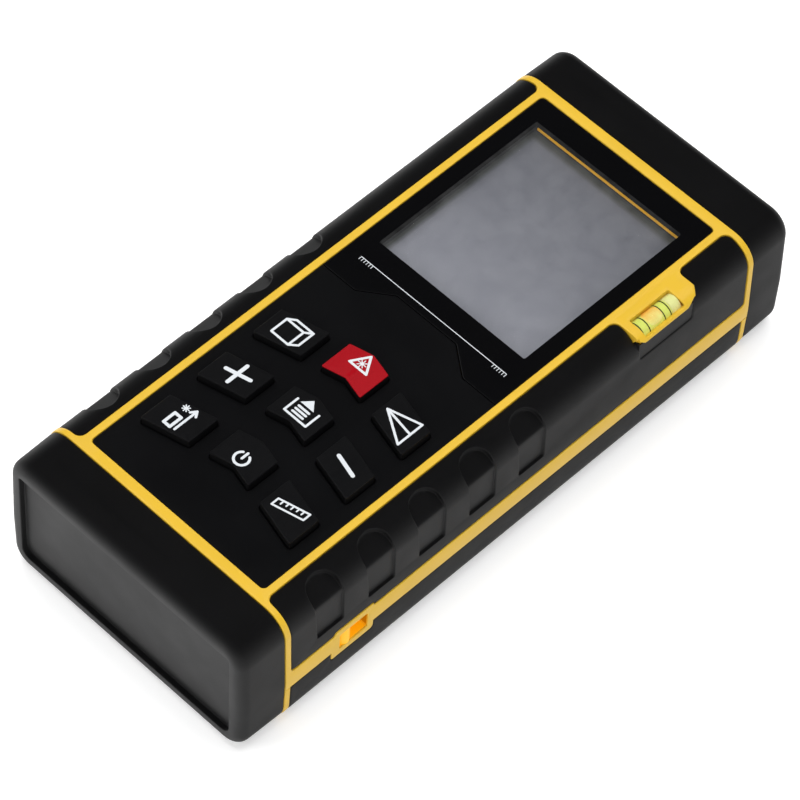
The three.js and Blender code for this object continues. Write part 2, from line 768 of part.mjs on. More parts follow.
function receiverBoard() {
  const plate = block(-2.5, 13.5, 13.2, 14.6, 4.2, 16.4);
  const holes = [-1, 1].map((x) => endwaysRound(0.4, optics.receiverX + x, optics.z, 10, 20, 8));
  return cut(plate, ...holes);
}

// A flat flexible cable from the receiver board up to the underside of the main board.
function ribbonCable() {
  const strip = polygon([-2, -0.12], [2, -0.12], [2, 0.12], [-2, 0.12]);
  const path = [
    [11, 12.95, 7],
    [11, 12.6, 9],
    [11, 9.4, 11.8],
    [11, 8.6, 14.5],
    [11, 8.6, board.z0 - 0.1],
  ];
  return swept(strip, path, 14);
}

// ---- Battery door, cells, contacts and leads ----

function batteryDoor() {
  const plate = extruded(rounded(-door.x, door.x, door.y0, door.y1, 0.8), door.z0, door.z1);
  const tabs = [-1, 1].map((side) => {
    const x0 = side * doorTab.x - doorTab.half;
    const x1 = side * doorTab.x + doorTab.half;
    const post = block(x0, x1, doorTab.y0, doorTab.y0 + 1.4, door.z1 - 0.2, doorTab.z1 - 0.5);
    return post.add(block(x0, x1, doorTab.y0, doorTab.y1, doorTab.z1 - 0.8, doorTab.z1));
  });
  const tongue = block(-3.5, 3.5, -45.5, -44.6, door.z1 - 0.2, 2.6);
  const grooves = [0, 1, 2, 3].map((i) => {
    const y = door.y0 + 3 + i * 1.4;
    return block(-6, 6, y, y + 0.7, -1, door.z0 + 0.4);
  });
  return cut(add(plate, ...tabs, tongue), ...grooves);
}

// An AAA cell lying along Y, its button towards +Y when facing is 1.
function aaaCell(x, end, facing) {
  const profile = [
    [0, 0],
    [cell.radius - 0.3, 0],
    [cell.radius, 0.3],
    [cell.radius, cell.can - 0.3],
    [cell.radius - 0.3, cell.can],
    [1.9, cell.can],
    [1.9, cell.can + cell.button],
    [0, cell.can + cell.button],
  ];
  const geometry = turned(profile, 24);
  if (facing < 0) geometry.rotateZ(Math.PI);
  return solid(geometry.translate(x, end, cell.z));
}

// A conical spring along Y, from its wide turn on the plate to its narrow turn at the cell.
function spring(x, from, to) {
  const turns = 3.5;
  const points = Array.from({ length: 36 }, (_, i) => {
    const share = i / 35;
    const angle = share * turns * 2 * Math.PI;
    const radius = 3.4 - 1.2 * share;
    return [x + radius * Math.cos(angle), from + share * (to - from), cell.z + radius * Math.sin(angle)];
  });
  return wire(points, 0.3, 42, 5);
}

const contact = { z0: 3.6, z1: 12.6, thickness: 0.4, front: 3.7, rear: -45.3 };

const nub = (x, y0, y1) => endwaysRound(1.6, x, cell.z, y0, y1, 12);

function contactPositive() {
  const { front, thickness, z0, z1 } = contact;
  const plate = block(-10, -1.5, front, front + thickness, z0, z1);
  return plate.add(nub(-cell.x, front - 0.6, front + 0.1));
}

function contactNegative() {
  const { front, thickness, z0, z1 } = contact;
  const plate = block(1.5, 10, front, front + thickness, z0, z1);
  return plate.add(spring(cell.x, front + 0.1, 0.45));
}

function contactBridge() {
  const { rear, thickness, z0, z1 } = contact;
  const plate = block(-10, 10, rear - thickness, rear, z0, z1);
  return add(plate, nub(cell.x, rear - 0.1, rear + 0.6), spring(-cell.x, rear - 0.1, -42.05));
}

const leadPlaces = [
  [-8, 3.2],
  [8, 3.2],
];

function lead([x, y]) {
  const path = [
    [x, y, 12.75],
    [x, y, 14.6],
    [x, y + 0.5, 15.6],
    [x, y + 0.6, board.z0 - seam],
  ];
  return wire(path, 0.45, 8, 8);
}

// ---- Screws ----

// A pan-head screw along Z, its head at the bottom, with a cross recess.
function screw(x, y, head, tip, headRadius, shaftRadius) {
  const profile = [
    [0, head],
    [headRadius - 0.4, head],
    [headRadius, head + 0.5],
    [headRadius, head + 1.4],
    [shaftRadius, head + 1.4],
    [shaftRadius, tip - 0.6],
    [0, tip],
  ];
  const body = solid(turned(profile, 14).rotateX(Math.PI / 2).translate(x, y, 0));
  const arm = headRadius * 0.6;
  const slot = block(x - arm, x + arm, y - 0.25, y + 0.25, head - 1, head + 0.8);
  const cross = block(x - 0.25, x + 0.25, y - arm, y + arm, head - 1, head + 0.8);
  return cut(body, slot, cross);
}

// A screw whose head is at the top, driven downwards.
function screwDown(x, y, head, tip) {
  const profile = [
    [0, tip],
    [0.9, tip + 0.6],
    [0.9, head - 1.2],
    [1.7, head - 1.2],
    [1.7, head - 0.3],
    [1.3, head],
    [0, head],
  ];
  return solid(turned(profile, 12).rotateX(Math.PI / 2).translate(x, y, 0));
}

// ---- Scene graph ----

const finish = {
  yellow: [0xf2bf2c, 0.42, 0],
  rubber: [0x2b2a2c, 0.75, 0],
  mattBlack: [0x1d1d1f, 0.6, 0],
  glossBlack: [0x0d0d0f, 0.12, 0],
  keyRed: [0xb0142a, 0.5, 0],
  lcd: [0x8e8e97, 0.3, 0],
  clear: [0xdfeff5, 0.05, 0],
  vial: [0xe8efc0, 0.05, 0],
  lime: [0xc3d84a, 0.1, 0],
  white: [0xe9e9e4, 0.5, 0],
  circuit: [0x1f6b3a, 0.5, 0],
  aluminium: [0xb8bbc0, 0.4, 1],
  steel: [0xa9adb3, 0.3, 1],
  brass: [0xc9a14a, 0.35, 1],
  filter: [0x6e0d12, 0.1, 0],
  polyimide: [0xc27a1e, 0.4, 0],
  cellJacket: [0x3b6ea8, 0.35, 0],
  wireRed: [0xb51b1b, 0.5, 0],
  wireBlack: [0x151515, 0.5, 0],
};

const meter = new THREE.Group();
meter.name = "laser_distance_meter";

function place(name, look, made) {
  const raw = made.getMesh();
  const positions = new Float32Array(raw.numVert * 3);
  for (let i = 0; i < raw.numVert; i++) {
    positions.set(raw.vertProperties.subarray(i * raw.numProp, i * raw.numProp + 3), i * 3);
  }
  const geometry = new THREE.BufferGeometry();
  geometry.setAttribute("position", new THREE.BufferAttribute(positions, 3));
  geometry.setIndex(new THREE.BufferAttribute(new Uint32Array(raw.triVerts), 1));
  geometry.computeVertexNormals();
  const [color, roughness, metalness] = finish[look];
  const mesh = new THREE.Mesh(geometry, new THREE.MeshStandardMaterial({ color, roughness, metalness }));
  mesh.name = name;
  meter.add(mesh);
}

place("front_shell", "yellow", frontShell());
place("back_shell", "yellow", backShell());
place("grip_left", "rubber", leftGrip());
place("grip_right", "rubber", rightGrip());
place("back_overmould", "rubber", backOvermould());
place("bottom_end_cap", "rubber", bottomEndCap());
place("laser_end_cap", "rubber", laserEndCap());
place("optics_window_plate", "glossBlack", opticsWindowPlate());
place("laser_window", "clear", laserWindow());

place("level_vial", "vial", levelVial());
place("level_fluid", "lime", levelFluid());
place("level_bubble", "clear", levelBubble());
place("level_plug", "white", levelPlug());

place("display_window", "glossBlack", displayWindow());
place("lcd_glass", "lcd", lcdGlass());
place("lcd_backlight", "white", lcdBacklight());
place("lcd_holder", "mattBlack", lcdHolder());
place("zebra_strip", "rubber", zebraStrip());

const keyNames = [
  ["volume", "measure", "triangle"],
  ["plus", "recall", "minus"],
  ["reference", "power", "unit"],
].flat();
keyPlaces.forEach(([row, column], i) => {
  const look = keyNames[i] === "measure" ? "keyRed" : "mattBlack";
  place(`key_${keyNames[i]}`, look, key(row, column));
});
place("keypad_plate", "mattBlack", keypadPlate());
place("keypad_mat", "rubber", keypadMat());
place("dome_sheet", "steel", domeSheet());

place("main_board", "circuit", mainBoard());
place("processor_chip", "mattBlack", processorChip());
place("buzzer", "mattBlack", buzzer());

place("optics_bench", "aluminium", opticsBench());
place("laser_diode", "brass", laserDiode());
place("collimator_barrel", "brass", collimatorBarrel());
place("collimator_lens", "clear", collimatorLens());
place("receiver_lens", "clear", receiverLens());
place("photodiode", "steel", photodiode());
place("receiver_filter", "filter", receiverFilter());
place("receiver_board", "circuit", receiverBoard());
place("ribbon_cable", "polyimide", ribbonCable());

place("battery_door", "mattBlack", batteryDoor());
place("cell_left", "cellJacket", aaaCell(-cell.x, -41.5, 1));
place("cell_right", "cellJacket", aaaCell(cell.x, -0.1, -1));
place("contact_positive", "steel", contactPositive());
place("contact_negative", "steel", contactNegative());
place("contact_bridge", "steel", contactBridge());
place("lead_positive", "wireRed", lead(leadPlaces[0]));
place("lead_negative", "wireBlack", lead(leadPlaces[1]));

caseScrewPlaces.forEach(([x, y], i) => {
  place(`case_screw_${i + 1}`, "steel", screw(x, y, caseScrew.seat - 1.4 - seam, 14.8, 2.1, 0.95));
});
boardPosts.forEach(([x, y], i) => {
  place(`board_screw_${i + 1}`, "steel", screw(x, y, board.z0 - 1.4 - seam, 21.6, 1.7, 0.8));
});
benchScrewPlaces.forEach(([x, y], i) => {
  place(`bench_screw_${i + 1}`, "steel", screwDown(x, y, bench.z1 + 1.25, 2.3));
});

export default meter;
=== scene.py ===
"""Looks of the laser distance meter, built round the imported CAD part.

Lengths are in millimetres while a piece is shaped, in the CAD part's frame: +X right as the display is
read, +Y towards the laser end, +Z out of the display, z = 0 at the back. Blender gets them in metres.
"""

import math

import bpy
import numpy as np
from mathutils import Matrix, Vector, geometry


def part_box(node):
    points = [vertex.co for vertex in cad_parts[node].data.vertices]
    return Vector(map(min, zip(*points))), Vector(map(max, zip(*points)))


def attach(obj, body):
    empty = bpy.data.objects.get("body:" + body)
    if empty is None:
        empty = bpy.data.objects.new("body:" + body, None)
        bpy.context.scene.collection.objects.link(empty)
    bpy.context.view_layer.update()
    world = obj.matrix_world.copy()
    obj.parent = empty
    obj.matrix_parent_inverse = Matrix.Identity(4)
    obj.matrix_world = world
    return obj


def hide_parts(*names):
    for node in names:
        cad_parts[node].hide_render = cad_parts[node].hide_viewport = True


MM = 0.001

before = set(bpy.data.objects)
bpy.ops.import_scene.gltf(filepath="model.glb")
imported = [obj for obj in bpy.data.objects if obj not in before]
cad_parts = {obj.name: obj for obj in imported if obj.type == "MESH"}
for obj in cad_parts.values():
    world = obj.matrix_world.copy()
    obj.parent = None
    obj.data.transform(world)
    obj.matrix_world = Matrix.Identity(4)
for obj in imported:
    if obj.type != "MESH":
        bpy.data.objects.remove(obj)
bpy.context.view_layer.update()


def box_mm(node):
    """Lowest and highest corner of a CAD node, in millimetres."""
    low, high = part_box(node)
    return np.array(low) / MM, np.array(high) / MM


# ---- Dimensions shared with the CAD part ----

SEAM = 0.05
SKIN = 1.4
SKIN_DROP = 0.1
WIDTH = 50.0
HEIGHT = 25.5
WIDEST = 10.6
TOP_X = WIDTH / 2 - 0.015 * (HEIGHT - WIDEST)
BACK_X = WIDTH / 2 - 0.022 * WIDEST
TOP_ROUND = 4.4
BACK_ROUND = 4.0
END = 58.0
END_ROUND = 2.0
CAP_TAPER = 0.02
PARTING = 8.7
PANEL_X = 18.1
PANEL_Y = 47.35
GRIP_X = 19.4
GRIP_Y = 48.2
CAP_Y = 49.25
STRIPE_TOP = 12.5
POD_Y0 = 23.85
POD_Y1 = 37.4
POD_X = 24.95
POD_RIM = 24.0
MOUTH_X = (20.95, 24.6)
MOUTH_Y = (25.45, 33.85)
POD_CORNER = 0.75
POD_STEP = 0.35
LUG_Y = (-39.95, -31.4)
LUG_Z = (6.95, 13.1)
POCKET_Y = (-38.35, -32.65)
POCKET_Z = (8.3, 11.8)
POST = (23.65, -36.75)
POST_RADIUS = 1.25
NOTCH_FIRST = -40.4
NOTCH_PITCH = 10.4
NOTCH_HALF = 2.85
NOTCH_START = (20.8, 24.7)
NOTCH_CREASE = (24.35, 22.6)
NOTCH_BOTTOM = 15.5
NOTCH_BLEND = 0.3
RECESS_X = 22.0
RECESS_Z = (3.1, 22.4)
RECESS_DEPTH = 1.0


# ---- Loops: closed outlines as rows of (u, v) ----


def loop(*corners, arc_step=15):
    """A closed outline through (u, v) or (u, v, radius) corners, rounded where a radius is given."""
    places = [np.array(c[:2], float) for c in corners]
    radii = [c[2] if len(c) > 2 else 0 for c in corners]
    points = []
    for i, (at, radius) in enumerate(zip(places, radii)):
        if not radius:
            points.append(at)
            continue
        back = places[i - 1] - at
        ahead = places[(i + 1) % len(places)] - at
        points.extend(corner_arc(at, back / np.hypot(*back), ahead / np.hypot(*ahead), radius, arc_step))
    return np.array(points)


def corner_arc(at, back, ahead, radius, arc_step):
    """Points of the arc that rounds the corner between the unit directions back and ahead."""
    half = math.acos(np.clip(back @ ahead, -1, 1)) / 2
    middle = back + ahead
    centre = at + middle / np.hypot(*middle) * radius / math.sin(half)
    first = at + back * radius / math.tan(half) - centre
    last = at + ahead * radius / math.tan(half) - centre
    start = math.atan2(first[1], first[0])
    turn = (math.atan2(last[1], last[0]) - start + math.pi) % (2 * math.pi) - math.pi
    steps = max(2, round(abs(math.degrees(turn)) / arc_step))
    angles = start + turn * np.arange(steps + 1) / steps
    return [centre + radius * np.array([math.cos(a), math.sin(a)]) for a in angles]


def rectangle(u0, u1, v0, v1, radius=0.0):
    return loop((u0, v0, radius), (u1, v0, radius), (u1, v1, radius), (u0, v1, radius))


def circle(u, v, radius, count=48):
    angles = np.arange(count) * 2 * math.pi / count
    return np.stack([u + radius * np.cos(angles), v + radius * np.sin(angles)], axis=1)


def shifted(points, distance):
    """The outline moved to its left, which is inwards for a counter-clockwise one, with mitred corners."""
    before = points - np.roll(points, 1, axis=0)
    after = np.roll(points, -1, axis=0) - points
    n0, n1 = (np.stack([-d[:, 1], d[:, 0]], axis=1) / np.hypot(*d.T)[:, None] for d in (before, after))
    return points + distance * (n0 + n1) / (1 + (n0 * n1).sum(axis=1))[:, None]


def crossing(points, columns):
    """The outline with a point added wherever it crosses one of the columns."""
    made = []
    for a, b in zip(points, np.roll(points, -1, axis=0)):
        made.append(a)
        low, high = sorted((a[0], b[0]))
        inner = [c for c in columns if low + 0.02 < c < high - 0.02]
        for c in sorted(inner, reverse=bool(b[0] < a[0])):
            made.append(a + (b - a) * (c - a[0]) / (b[0] - a[0]))
    return np.array(made)


def inside(points, outline):
    """Which points lie inside a closed outline."""
    x, y = points[:, 0:1], points[:, 1:2]
    x0, y0 = outline.T
    x1, y1 = np.roll(outline, -1, axis=0).T
    spans = (y0 > y) != (y1 > y)
    rise = np.where(y1 == y0, 1, y1 - y0)
    return (spans & (x < x0 + (y - y0) * (x1 - x0) / rise)).sum(axis=1) % 2 == 1


# ---- Shapes: (points, faces, material numbers) ----


def joined(*shapes):
    points, faces, looks = [], [], []
    count = 0
    for p, f, m in shapes:
        points.append(p)
        faces.extend(tuple(i + count for i in face) for face in f)
        looks.extend(m)
        count += len(p)
    return np.concatenate(points), faces, looks


def edge_rings(outline, top, radius, steps=4):
    """Rings (points, depth) that round an edge, from its foot on the side wall up to the flat."""
    angles = np.linspace(0, math.pi / 2, steps + 1)
    return [(shifted(outline, radius * (1 - math.cos(a))), top + radius * (1 - math.sin(a))) for a in angles]


def dent_rings(outline, top, floor, radius):
    """Rings of a hollow: rounded rim, steep wall and small fillet at its floor, whose depth is floor(u)."""
    levels = [(-radius * (1 - math.cos(a)), radius * (1 - math.sin(a))) for a in np.linspace(math.pi / 2, 0, 5)]
    rings = [(shifted(outline, inwards), top + drop) for inwards, drop in levels]
    rings = [(ring, np.minimum(depth, floor(ring[:, 0]))) for ring, depth in rings]
    for inwards, short in ((0.05, 0.1), (0.15, 0)):
        ring = shifted(outline, inwards)
        rings.append((ring, floor(ring[:, 0]) - short))
    return rings


def flat_floor(depth):
    return lambda u: np.full(len(u), depth)


def patch(form, outline, holes=(), dents=(), top=0.0, bottom=SKIN - SEAM, edge=0.25, hole_edge=None,
          columns=(), row=1.0):
    """A slab over a region of the surface that form describes, with rounded edges.

    form turns (u, v, depth) into points. The outline runs counter-clockwise. Holes are outlines too.
    Dents are (outline, floor, rim radius), where floor(u) is a depth. Without a bottom only the upper
    face is made.
    """
    outline = crossing(outline, columns)
    holes = [crossing(h, columns)[::-1] for h in holes]
    dents = [(crossing(d, columns), floor, radius) for d, floor, radius in dents]
    hole_edge = edge if hole_edge is None else hole_edge
    rings = []
    for edge_loop, radius in [(outline, edge), *((hole, hole_edge) for hole in holes)]:
        rings += edge_rings(edge_loop, top, radius) if radius else [(edge_loop, top)]
    for dent_outline, floor, radius in dents:
        rings += dent_rings(dent_outline, top, floor, radius)
    uv = [ring for ring, _ in rings]
    depth = [level + np.zeros(len(ring)) for ring, level in rings]
    links = []
    count = 0
    for ring in uv:
        ids = np.arange(len(ring)) + count
        links += list(zip(ids.tolist(), np.roll(ids, -1).tolist()))
        count += len(ring)
    inner, inner_depth = grid_points(outline, holes, dents, top, edge, columns, row)
    uv.append(inner)
    depth.append(inner_depth)
    uv, depth = np.concatenate(uv), np.concatenate(depth)
    uv, depth, triangles = triangulated(uv, depth, links, outline, holes)
    upper = form(uv[:, 0], uv[:, 1], depth)
    if bottom is None:
        return upper, triangles, [0] * len(triangles)
    lower = form(uv[:, 0], uv[:, 1], np.full(len(uv), bottom))
    faces = triangles + [tuple(i + len(uv) for i in reversed(t)) for t in triangles]
    faces += side_walls(triangles, len(uv))
    return np.concatenate([upper, lower]), faces, [0] * len(faces)


def grid_points(outline, holes, dents, top, edge, columns, row):
    """Free points between the rings: along the columns where given, else over a square grid."""
    low, high = outline.min(axis=0), outline.max(axis=0)
    us = [c for c in columns if low[0] < c < high[0]] or np.arange(low[0], high[0], row * 4)
    vs = np.arange(low[1] + row / 2, high[1], row)
    points = np.array([(u, v) for u in us for v in vs]).reshape(-1, 2)
    clear = edge + 0.12
    keep = inside(points, shifted(outline, clear))
    for hole in holes:
        keep &= ~inside(points, shifted(hole, clear)[::-1])
    depth = np.full(len(points), top)
    for dent_outline, floor, radius in dents:
        within = inside(points, shifted(dent_outline, 0.27))
        keep &= ~inside(points, shifted(dent_outline, -radius - 0.12)) | within
        depth[within] = floor(points[within, 0])
    return points[keep], depth[keep]


def triangulated(uv, depth, links, outline, holes):
    """Triangles over the points, keeping the linked ones joined and leaving the holes open."""
    made, _, faces, origins, _, _ = geometry.delaunay_2d_cdt([Vector(p) for p in uv], links, [], 0, 1e-5, True)
    made = np.array([tuple(p) for p in made])
    level = np.array([depth[o[0]] if o else depth[0] for o in origins])
    middles = np.array([made[list(f)].mean(axis=0) for f in faces])
    keep = inside(middles, outline)
    for hole in holes:
        keep &= ~inside(middles, hole)
    return made, level, [tuple(f) for f, kept in zip(faces, keep) if kept]


def side_walls(triangles, count):
    """Quads from each open edge of the triangles down to the same edge on the underside."""
    directed = {(t[i], t[(i + 1) % 3]) for t in triangles for i in range(3)}
    return [(a, a + count, b + count, b) for a, b in directed if (b, a) not in directed]


def cut_outs(outlines, z0, z1, look=0):
    """One flat body in the shape of all the outlines laid over each other."""
    links = []
    count = 0
    for outline in outlines:
        ids = np.arange(len(outline)) + count
        links += list(zip(ids.tolist(), np.roll(ids, -1).tolist()))
        count += len(outline)
    places = [Vector(p) for outline in outlines for p in outline]
    made, _, triangles, *_ = geometry.delaunay_2d_cdt(places, links, [], 0, 1e-4, False)
    made = np.array([tuple(p) for p in made])
    middles = np.array([made[list(t)].mean(axis=0) for t in triangles])
    covered = np.any([inside(middles, outline) for outline in outlines], axis=0)
    triangles = [tuple(t) for t, kept in zip(triangles, covered) if kept]
    upper = np.column_stack([made, np.full(len(made), z1)])
    lower = np.column_stack([made, np.full(len(made), z0)])
    faces = triangles + [tuple(i + len(made) for i in reversed(t)) for t in triangles]
    faces += side_walls(triangles, len(made))
    return np.concatenate([upper, lower]), faces, [look] * len(faces)


def prism(outline, z0, z1, look=0):
    """An upright prism over a plan outline."""
    count = len(outline)
    lower = np.column_stack([outline, np.full(count, z0)])
    upper = np.column_stack([outline, np.full(count, z1)])
    sides = [(i, (i + 1) % count, (i + 1) % count + count, i + count) for i in range(count)]
    ends = [tuple(range(count - 1, -1, -1)), tuple(range(count, 2 * count))]
    return np.concatenate([lower, upper]), sides + ends, [look] * (count + 2)


def ring_loft(rings, look=0, close_start=True, close_end=True):
    """A skin over rings of equal point counts."""
    count = len(rings[0])
    faces = []
    for r in range(len(rings) - 1):
        for i in range(count):
            a, b = r * count + i, r * count + (i + 1) % count
            faces.append((a, b, b + count, a + count))
    if close_start:
        faces.append(tuple(range(count - 1, -1, -1)))
    if close_end:
        faces.append(tuple(range((len(rings) - 1) * count, len(rings) * count)))
    return np.concatenate(rings), faces, [look] * len(faces)


# ---- Pieces ----


def piece(name, shape, materials, body, stands_for=None, welded=False):
    """Makes one object from a shape and lets it ride on a CAD body."""
    points, faces, looks = shape
    mesh = bpy.data.meshes.new(name)
    mesh.from_pydata([tuple(p) for p in points * MM], [], faces)
    for material in materials:
        mesh.materials.append(material)
    mesh.polygons.foreach_set("material_index", looks)
    mesh.shade_smooth()
    mesh.set_sharp_from_angle(angle=math.radians(40))
    obj = bpy.data.objects.new(name, mesh)
    bpy.context.scene.collection.objects.link(obj)
    if welded:
        weld(obj)
    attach(obj, body)
    if stands_for:
        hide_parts(*stands_for)
    return obj


def weld(obj):
    """Joins points that coincide, where two parts of a shape meet."""
    modifier = obj.modifiers.new("weld", "WELD")
    modifier.merge_threshold = 2e-7


def dressed(node, material, bevel=0.0):
    """Shows a CAD node as it is, with a material, smooth round faces and softened edges."""
    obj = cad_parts[node]
    mesh = obj.data
    mesh.materials.clear()
    mesh.materials.append(material)
    if "custom_normal" in mesh.attributes:
        mesh.attributes.remove(mesh.attributes["custom_normal"])
    mesh.shade_smooth()
    weld(obj)
    if bevel:
        edges = obj.modifiers.new("edges", "BEVEL")
        edges.width = bevel * MM
        edges.segments = 3
        edges.limit_method = "ANGLE"
        edges.angle_limit = math.radians(40)
    split = obj.modifiers.new("split", "EDGE_SPLIT")
    split.split_angle = math.radians(35)
    return obj


# ---- Forms: where (u, v, depth) lies on the object ----


class Profile:
    """A line in X and Z, walked by distance along it, with the outward direction at each point."""

    def __init__(self, points, normals, start=0.0):
        self.points = np.array(points, float)
        self.normals = np.array(normals, float)
        steps = np.hypot(*np.diff(self.points, axis=0).T)
        self.along = start + np.concatenate([[0], np.cumsum(steps)])

    def at(self, u, depth):
        x, z = (np.interp(u, self.along, self.points[:, i]) for i in (0, 1))
        nx, nz = (np.interp(u, self.along, self.normals[:, i]) for i in (0, 1))
        return x - nx * depth, z - nz * depth

    def distance(self, axis, value):
        """How far along the first point with this X (axis 0) or Z (axis 1) lies."""
        side = self.points[:, axis] - value
        i = int(np.argmax(side[:-1] * side[1:] <= 0))
        share = side[i] / (side[i] - side[i + 1])
        return self.along[i] + share * (self.along[i + 1] - self.along[i])


def quarter_turn(centre, radius, start, steps=20):
    """Points and directions of a clockwise quarter of a circle, start in degrees from +X."""
    angles = np.radians(start - np.arange(steps + 1) * 90 / steps)
    directions = np.stack([np.cos(angles), np.sin(angles)], axis=1)
    return np.array(centre) + radius * directions, directions


def body_profile():
    """The body's cross-section, once round clockwise from the top middle."""
    top, top_out = quarter_turn((TOP_X - TOP_ROUND, HEIGHT - TOP_ROUND), TOP_ROUND, 90)
    back, back_out = quarter_turn((BACK_X - BACK_ROUND, BACK_ROUND), BACK_ROUND, 0)
    points = np.concatenate([[[0, HEIGHT]], top, [[WIDTH / 2, WIDEST]], back, [[0, 0]]])
    out = np.concatenate([[[0, 1]], top_out, [[1, 0]], back_out, [[0, -1]]])
    flip = np.array([-1, 1])
    return Profile(np.concatenate([points, points[-2::-1] * flip]), np.concatenate([out, out[-2::-1] * flip]))


BODY = body_profile()
ROUND = BODY.along[-1]


def pod_profile(steps=14):
    """The level housing's top, from the long stripe outwards to its rim."""
    share = np.linspace(0, 1, steps + 1)[:, None]
    ends = [np.array(p) for p in ((POD_X - 2.6, HEIGHT), (POD_X - 0.6, HEIGHT), (POD_X, POD_RIM + 0.25))]
    curve = (1 - share) ** 2 * ends[0] + 2 * share * (1 - share) * ends[1] + share**2 * ends[2]
    along = 2 * (1 - share) * (ends[1] - ends[0]) + 2 * share * (ends[2] - ends[1])
    out = np.stack([-along[:, 1], along[:, 0]], axis=1) / np.hypot(*along.T)[:, None]
    return Profile(np.concatenate([[[GRIP_X, HEIGHT]], curve]), np.concatenate([[[0, 1]], out]), GRIP_X)


POD = pod_profile()


def on_body(u, v, depth):
    x, z = BODY.at(u % ROUND, depth)
    return np.column_stack([x, v, z])


def on_stripes(u, v, depth):
    """The body's surface, except that it follows the level housing where that stands."""
    points = on_body(u, v, depth)
    pod = (u > GRIP_X) & (u < POD.along[-1] + 0.5) & (v > POD_Y0 - 0.01) & (v < POD_Y1 + 0.01)
    x, z = POD.at(u[pod], depth[pod])
    points[pod] = np.column_stack([x, v[pod], np.maximum(z, np.minimum(points[pod, 2], POD_RIM))])
    return points


def facing_up(height):
    return lambda u, v, depth: np.column_stack([u, v, height - depth])


def facing_end(side, end):
    """A face across the body at y = end, side 1 at the laser end; u is towards -X there."""
    return lambda u, v, depth: np.column_stack([-side * u, side * (end - depth), v])


def columns_between(u0, u1, profile=BODY):
    """The profile's own stations, and more where it's straight, wrapping round the body."""
    own = np.concatenate([profile.along - ROUND, profile.along, profile.along + ROUND])
    own = np.unique(own.round(6))
    own = own[(own > u0) & (own < u1)]
    spread = [own]
    for a, b in zip(own, own[1:]):
        count = int((b - a) // 2.5)
        spread.append(a + (b - a) * np.arange(1, count + 1) / (count + 1))
    return np.unique(np.concatenate(spread).round(4))


def at_x(x):
    return BODY.distance(0, x)


def at_z(z):
    """Distance round the body, on its right-hand side, at which it has this height."""
    return BODY.distance(1, z)


# ---- Shells, grips and overmould ----

LUG_U = (at_z(LUG_Z[1]), at_z(LUG_Z[0]))
LUG_CHAMFER = 1.0
GRIP_LOW = at_z(STRIPE_TOP)


def pod_corners(margin):
    """The corners where the right grip meets the level housing, from the laser end to the near end."""
    x = lambda value: POD.distance(0, value)
    return [
        (GRIP_X + margin, POD_Y1 + margin, 1.3),
        (x(POD_X - 1.95), POD_Y1 + margin, 0.3),
        (x(POD_X - POD_CORNER), POD_Y1 - 0.9 + margin, 0.3),
        (POD.along[-1] + margin, POD_Y1 - 3.1, 0.8),
        (POD.along[-1] + margin, POD_Y0 + 1.1, 0.3),
        (x(POD_X - 0.35), POD_Y0 + POD_STEP - margin, 0.16),
        (x(POD_X - POD_CORNER), POD_Y0 + POD_STEP - margin, 0.08),
        (x(POD_X - POD_CORNER), POD_Y0 - margin, 0.16),
        (GRIP_X + margin, POD_Y0 - margin, 1.3),
    ]


def shoulder_corners(margin):
    """The same corners as the rubber has them, which runs on under the housing's rim."""
    under = at_z(POD_RIM - margin)
    return [
        (GRIP_X + margin, POD_Y1 + margin, 1.3),
        (at_x(POD_X - 1.95), POD_Y1 + margin, 0.3),
        (under, POD_Y1 - 0.5 + margin),
        (under, POD_Y0 - margin),
        (GRIP_X + margin, POD_Y0 - margin, 1.3),
    ]


def grip_outline(margin, beside_level):
    """The right grip's outline: the long stripe, the level, both ends, the side stripe and the lug."""
    y = GRIP_Y - margin
    low = GRIP_LOW - margin
    lug = LUG_U[0] - margin
    sloping_end = LUG_Y[0] + LUG_CHAMFER - margin
    return loop(
        (GRIP_X + margin, -y, 1.3),
        (low, -y, 0.8),
        (low, sloping_end - (low - lug), 0.35),
        (lug, sloping_end),
        (lug, LUG_Y[1] + margin, 0.2),
        (low, LUG_Y[1] + margin, 0.35),
        (low, y, 0.8),
        (GRIP_X + margin, y, 1.3),
        *beside_level(margin),
    )


def left_outline(margin):
    return rectangle_4(-GRIP_LOW + margin, -GRIP_X - margin, -GRIP_Y + margin, GRIP_Y - margin, 0.8, 1.3)


def rectangle_4(u0, u1, v0, v1, left_radius, right_radius):
    return loop((u0, v0, left_radius), (u1, v0, right_radius), (u1, v1, right_radius), (u0, v1, left_radius))


def notch_outline(y):
    """A finger notch of the right grip: a half circle on the shoulder that runs on down the side."""
    angles = np.radians(np.arange(90, 271, 7.5))
    x = NOTCH_START[0] + NOTCH_HALF + NOTCH_HALF * np.cos(angles)
    u = np.array([at_x(v) for v in x])
    arc = np.stack([u, y + NOTCH_HALF * np.sin(angles)], axis=1)
    low = at_z(NOTCH_BOTTOM)
    corners = loop((low, y - NOTCH_HALF, 0.35), (low, y + NOTCH_HALF, 0.35), (arc[0][0] + 1, y + NOTCH_HALF))
    return np.concatenate([arc, corners[:-1]])


def notch_floor(u):
    """Depth of a notch: down to an upright flat on the side and to a sloping flat on the shoulder."""
    x, z = BODY.at(np.abs(u), 0)
    deeper_x, deeper_z = BODY.at(np.abs(u), 1)
    out = np.array([x - deeper_x, z - deeper_z])
    slope = np.array([NOTCH_START[1] - NOTCH_CREASE[1], NOTCH_CREASE[0] - NOTCH_START[0]])
    slope /= np.hypot(*slope)
    offset = np.array([x, z]) - np.array(NOTCH_CREASE)[:, None]
    sloping = slope @ offset / np.maximum(slope @ out, 0.3)
    upright = offset[0] / np.maximum(out[0], 0.3)
    blended = (sloping + upright + np.hypot(sloping - upright, NOTCH_BLEND)) / 2
    return np.maximum(SKIN_DROP + 0.03, blended)


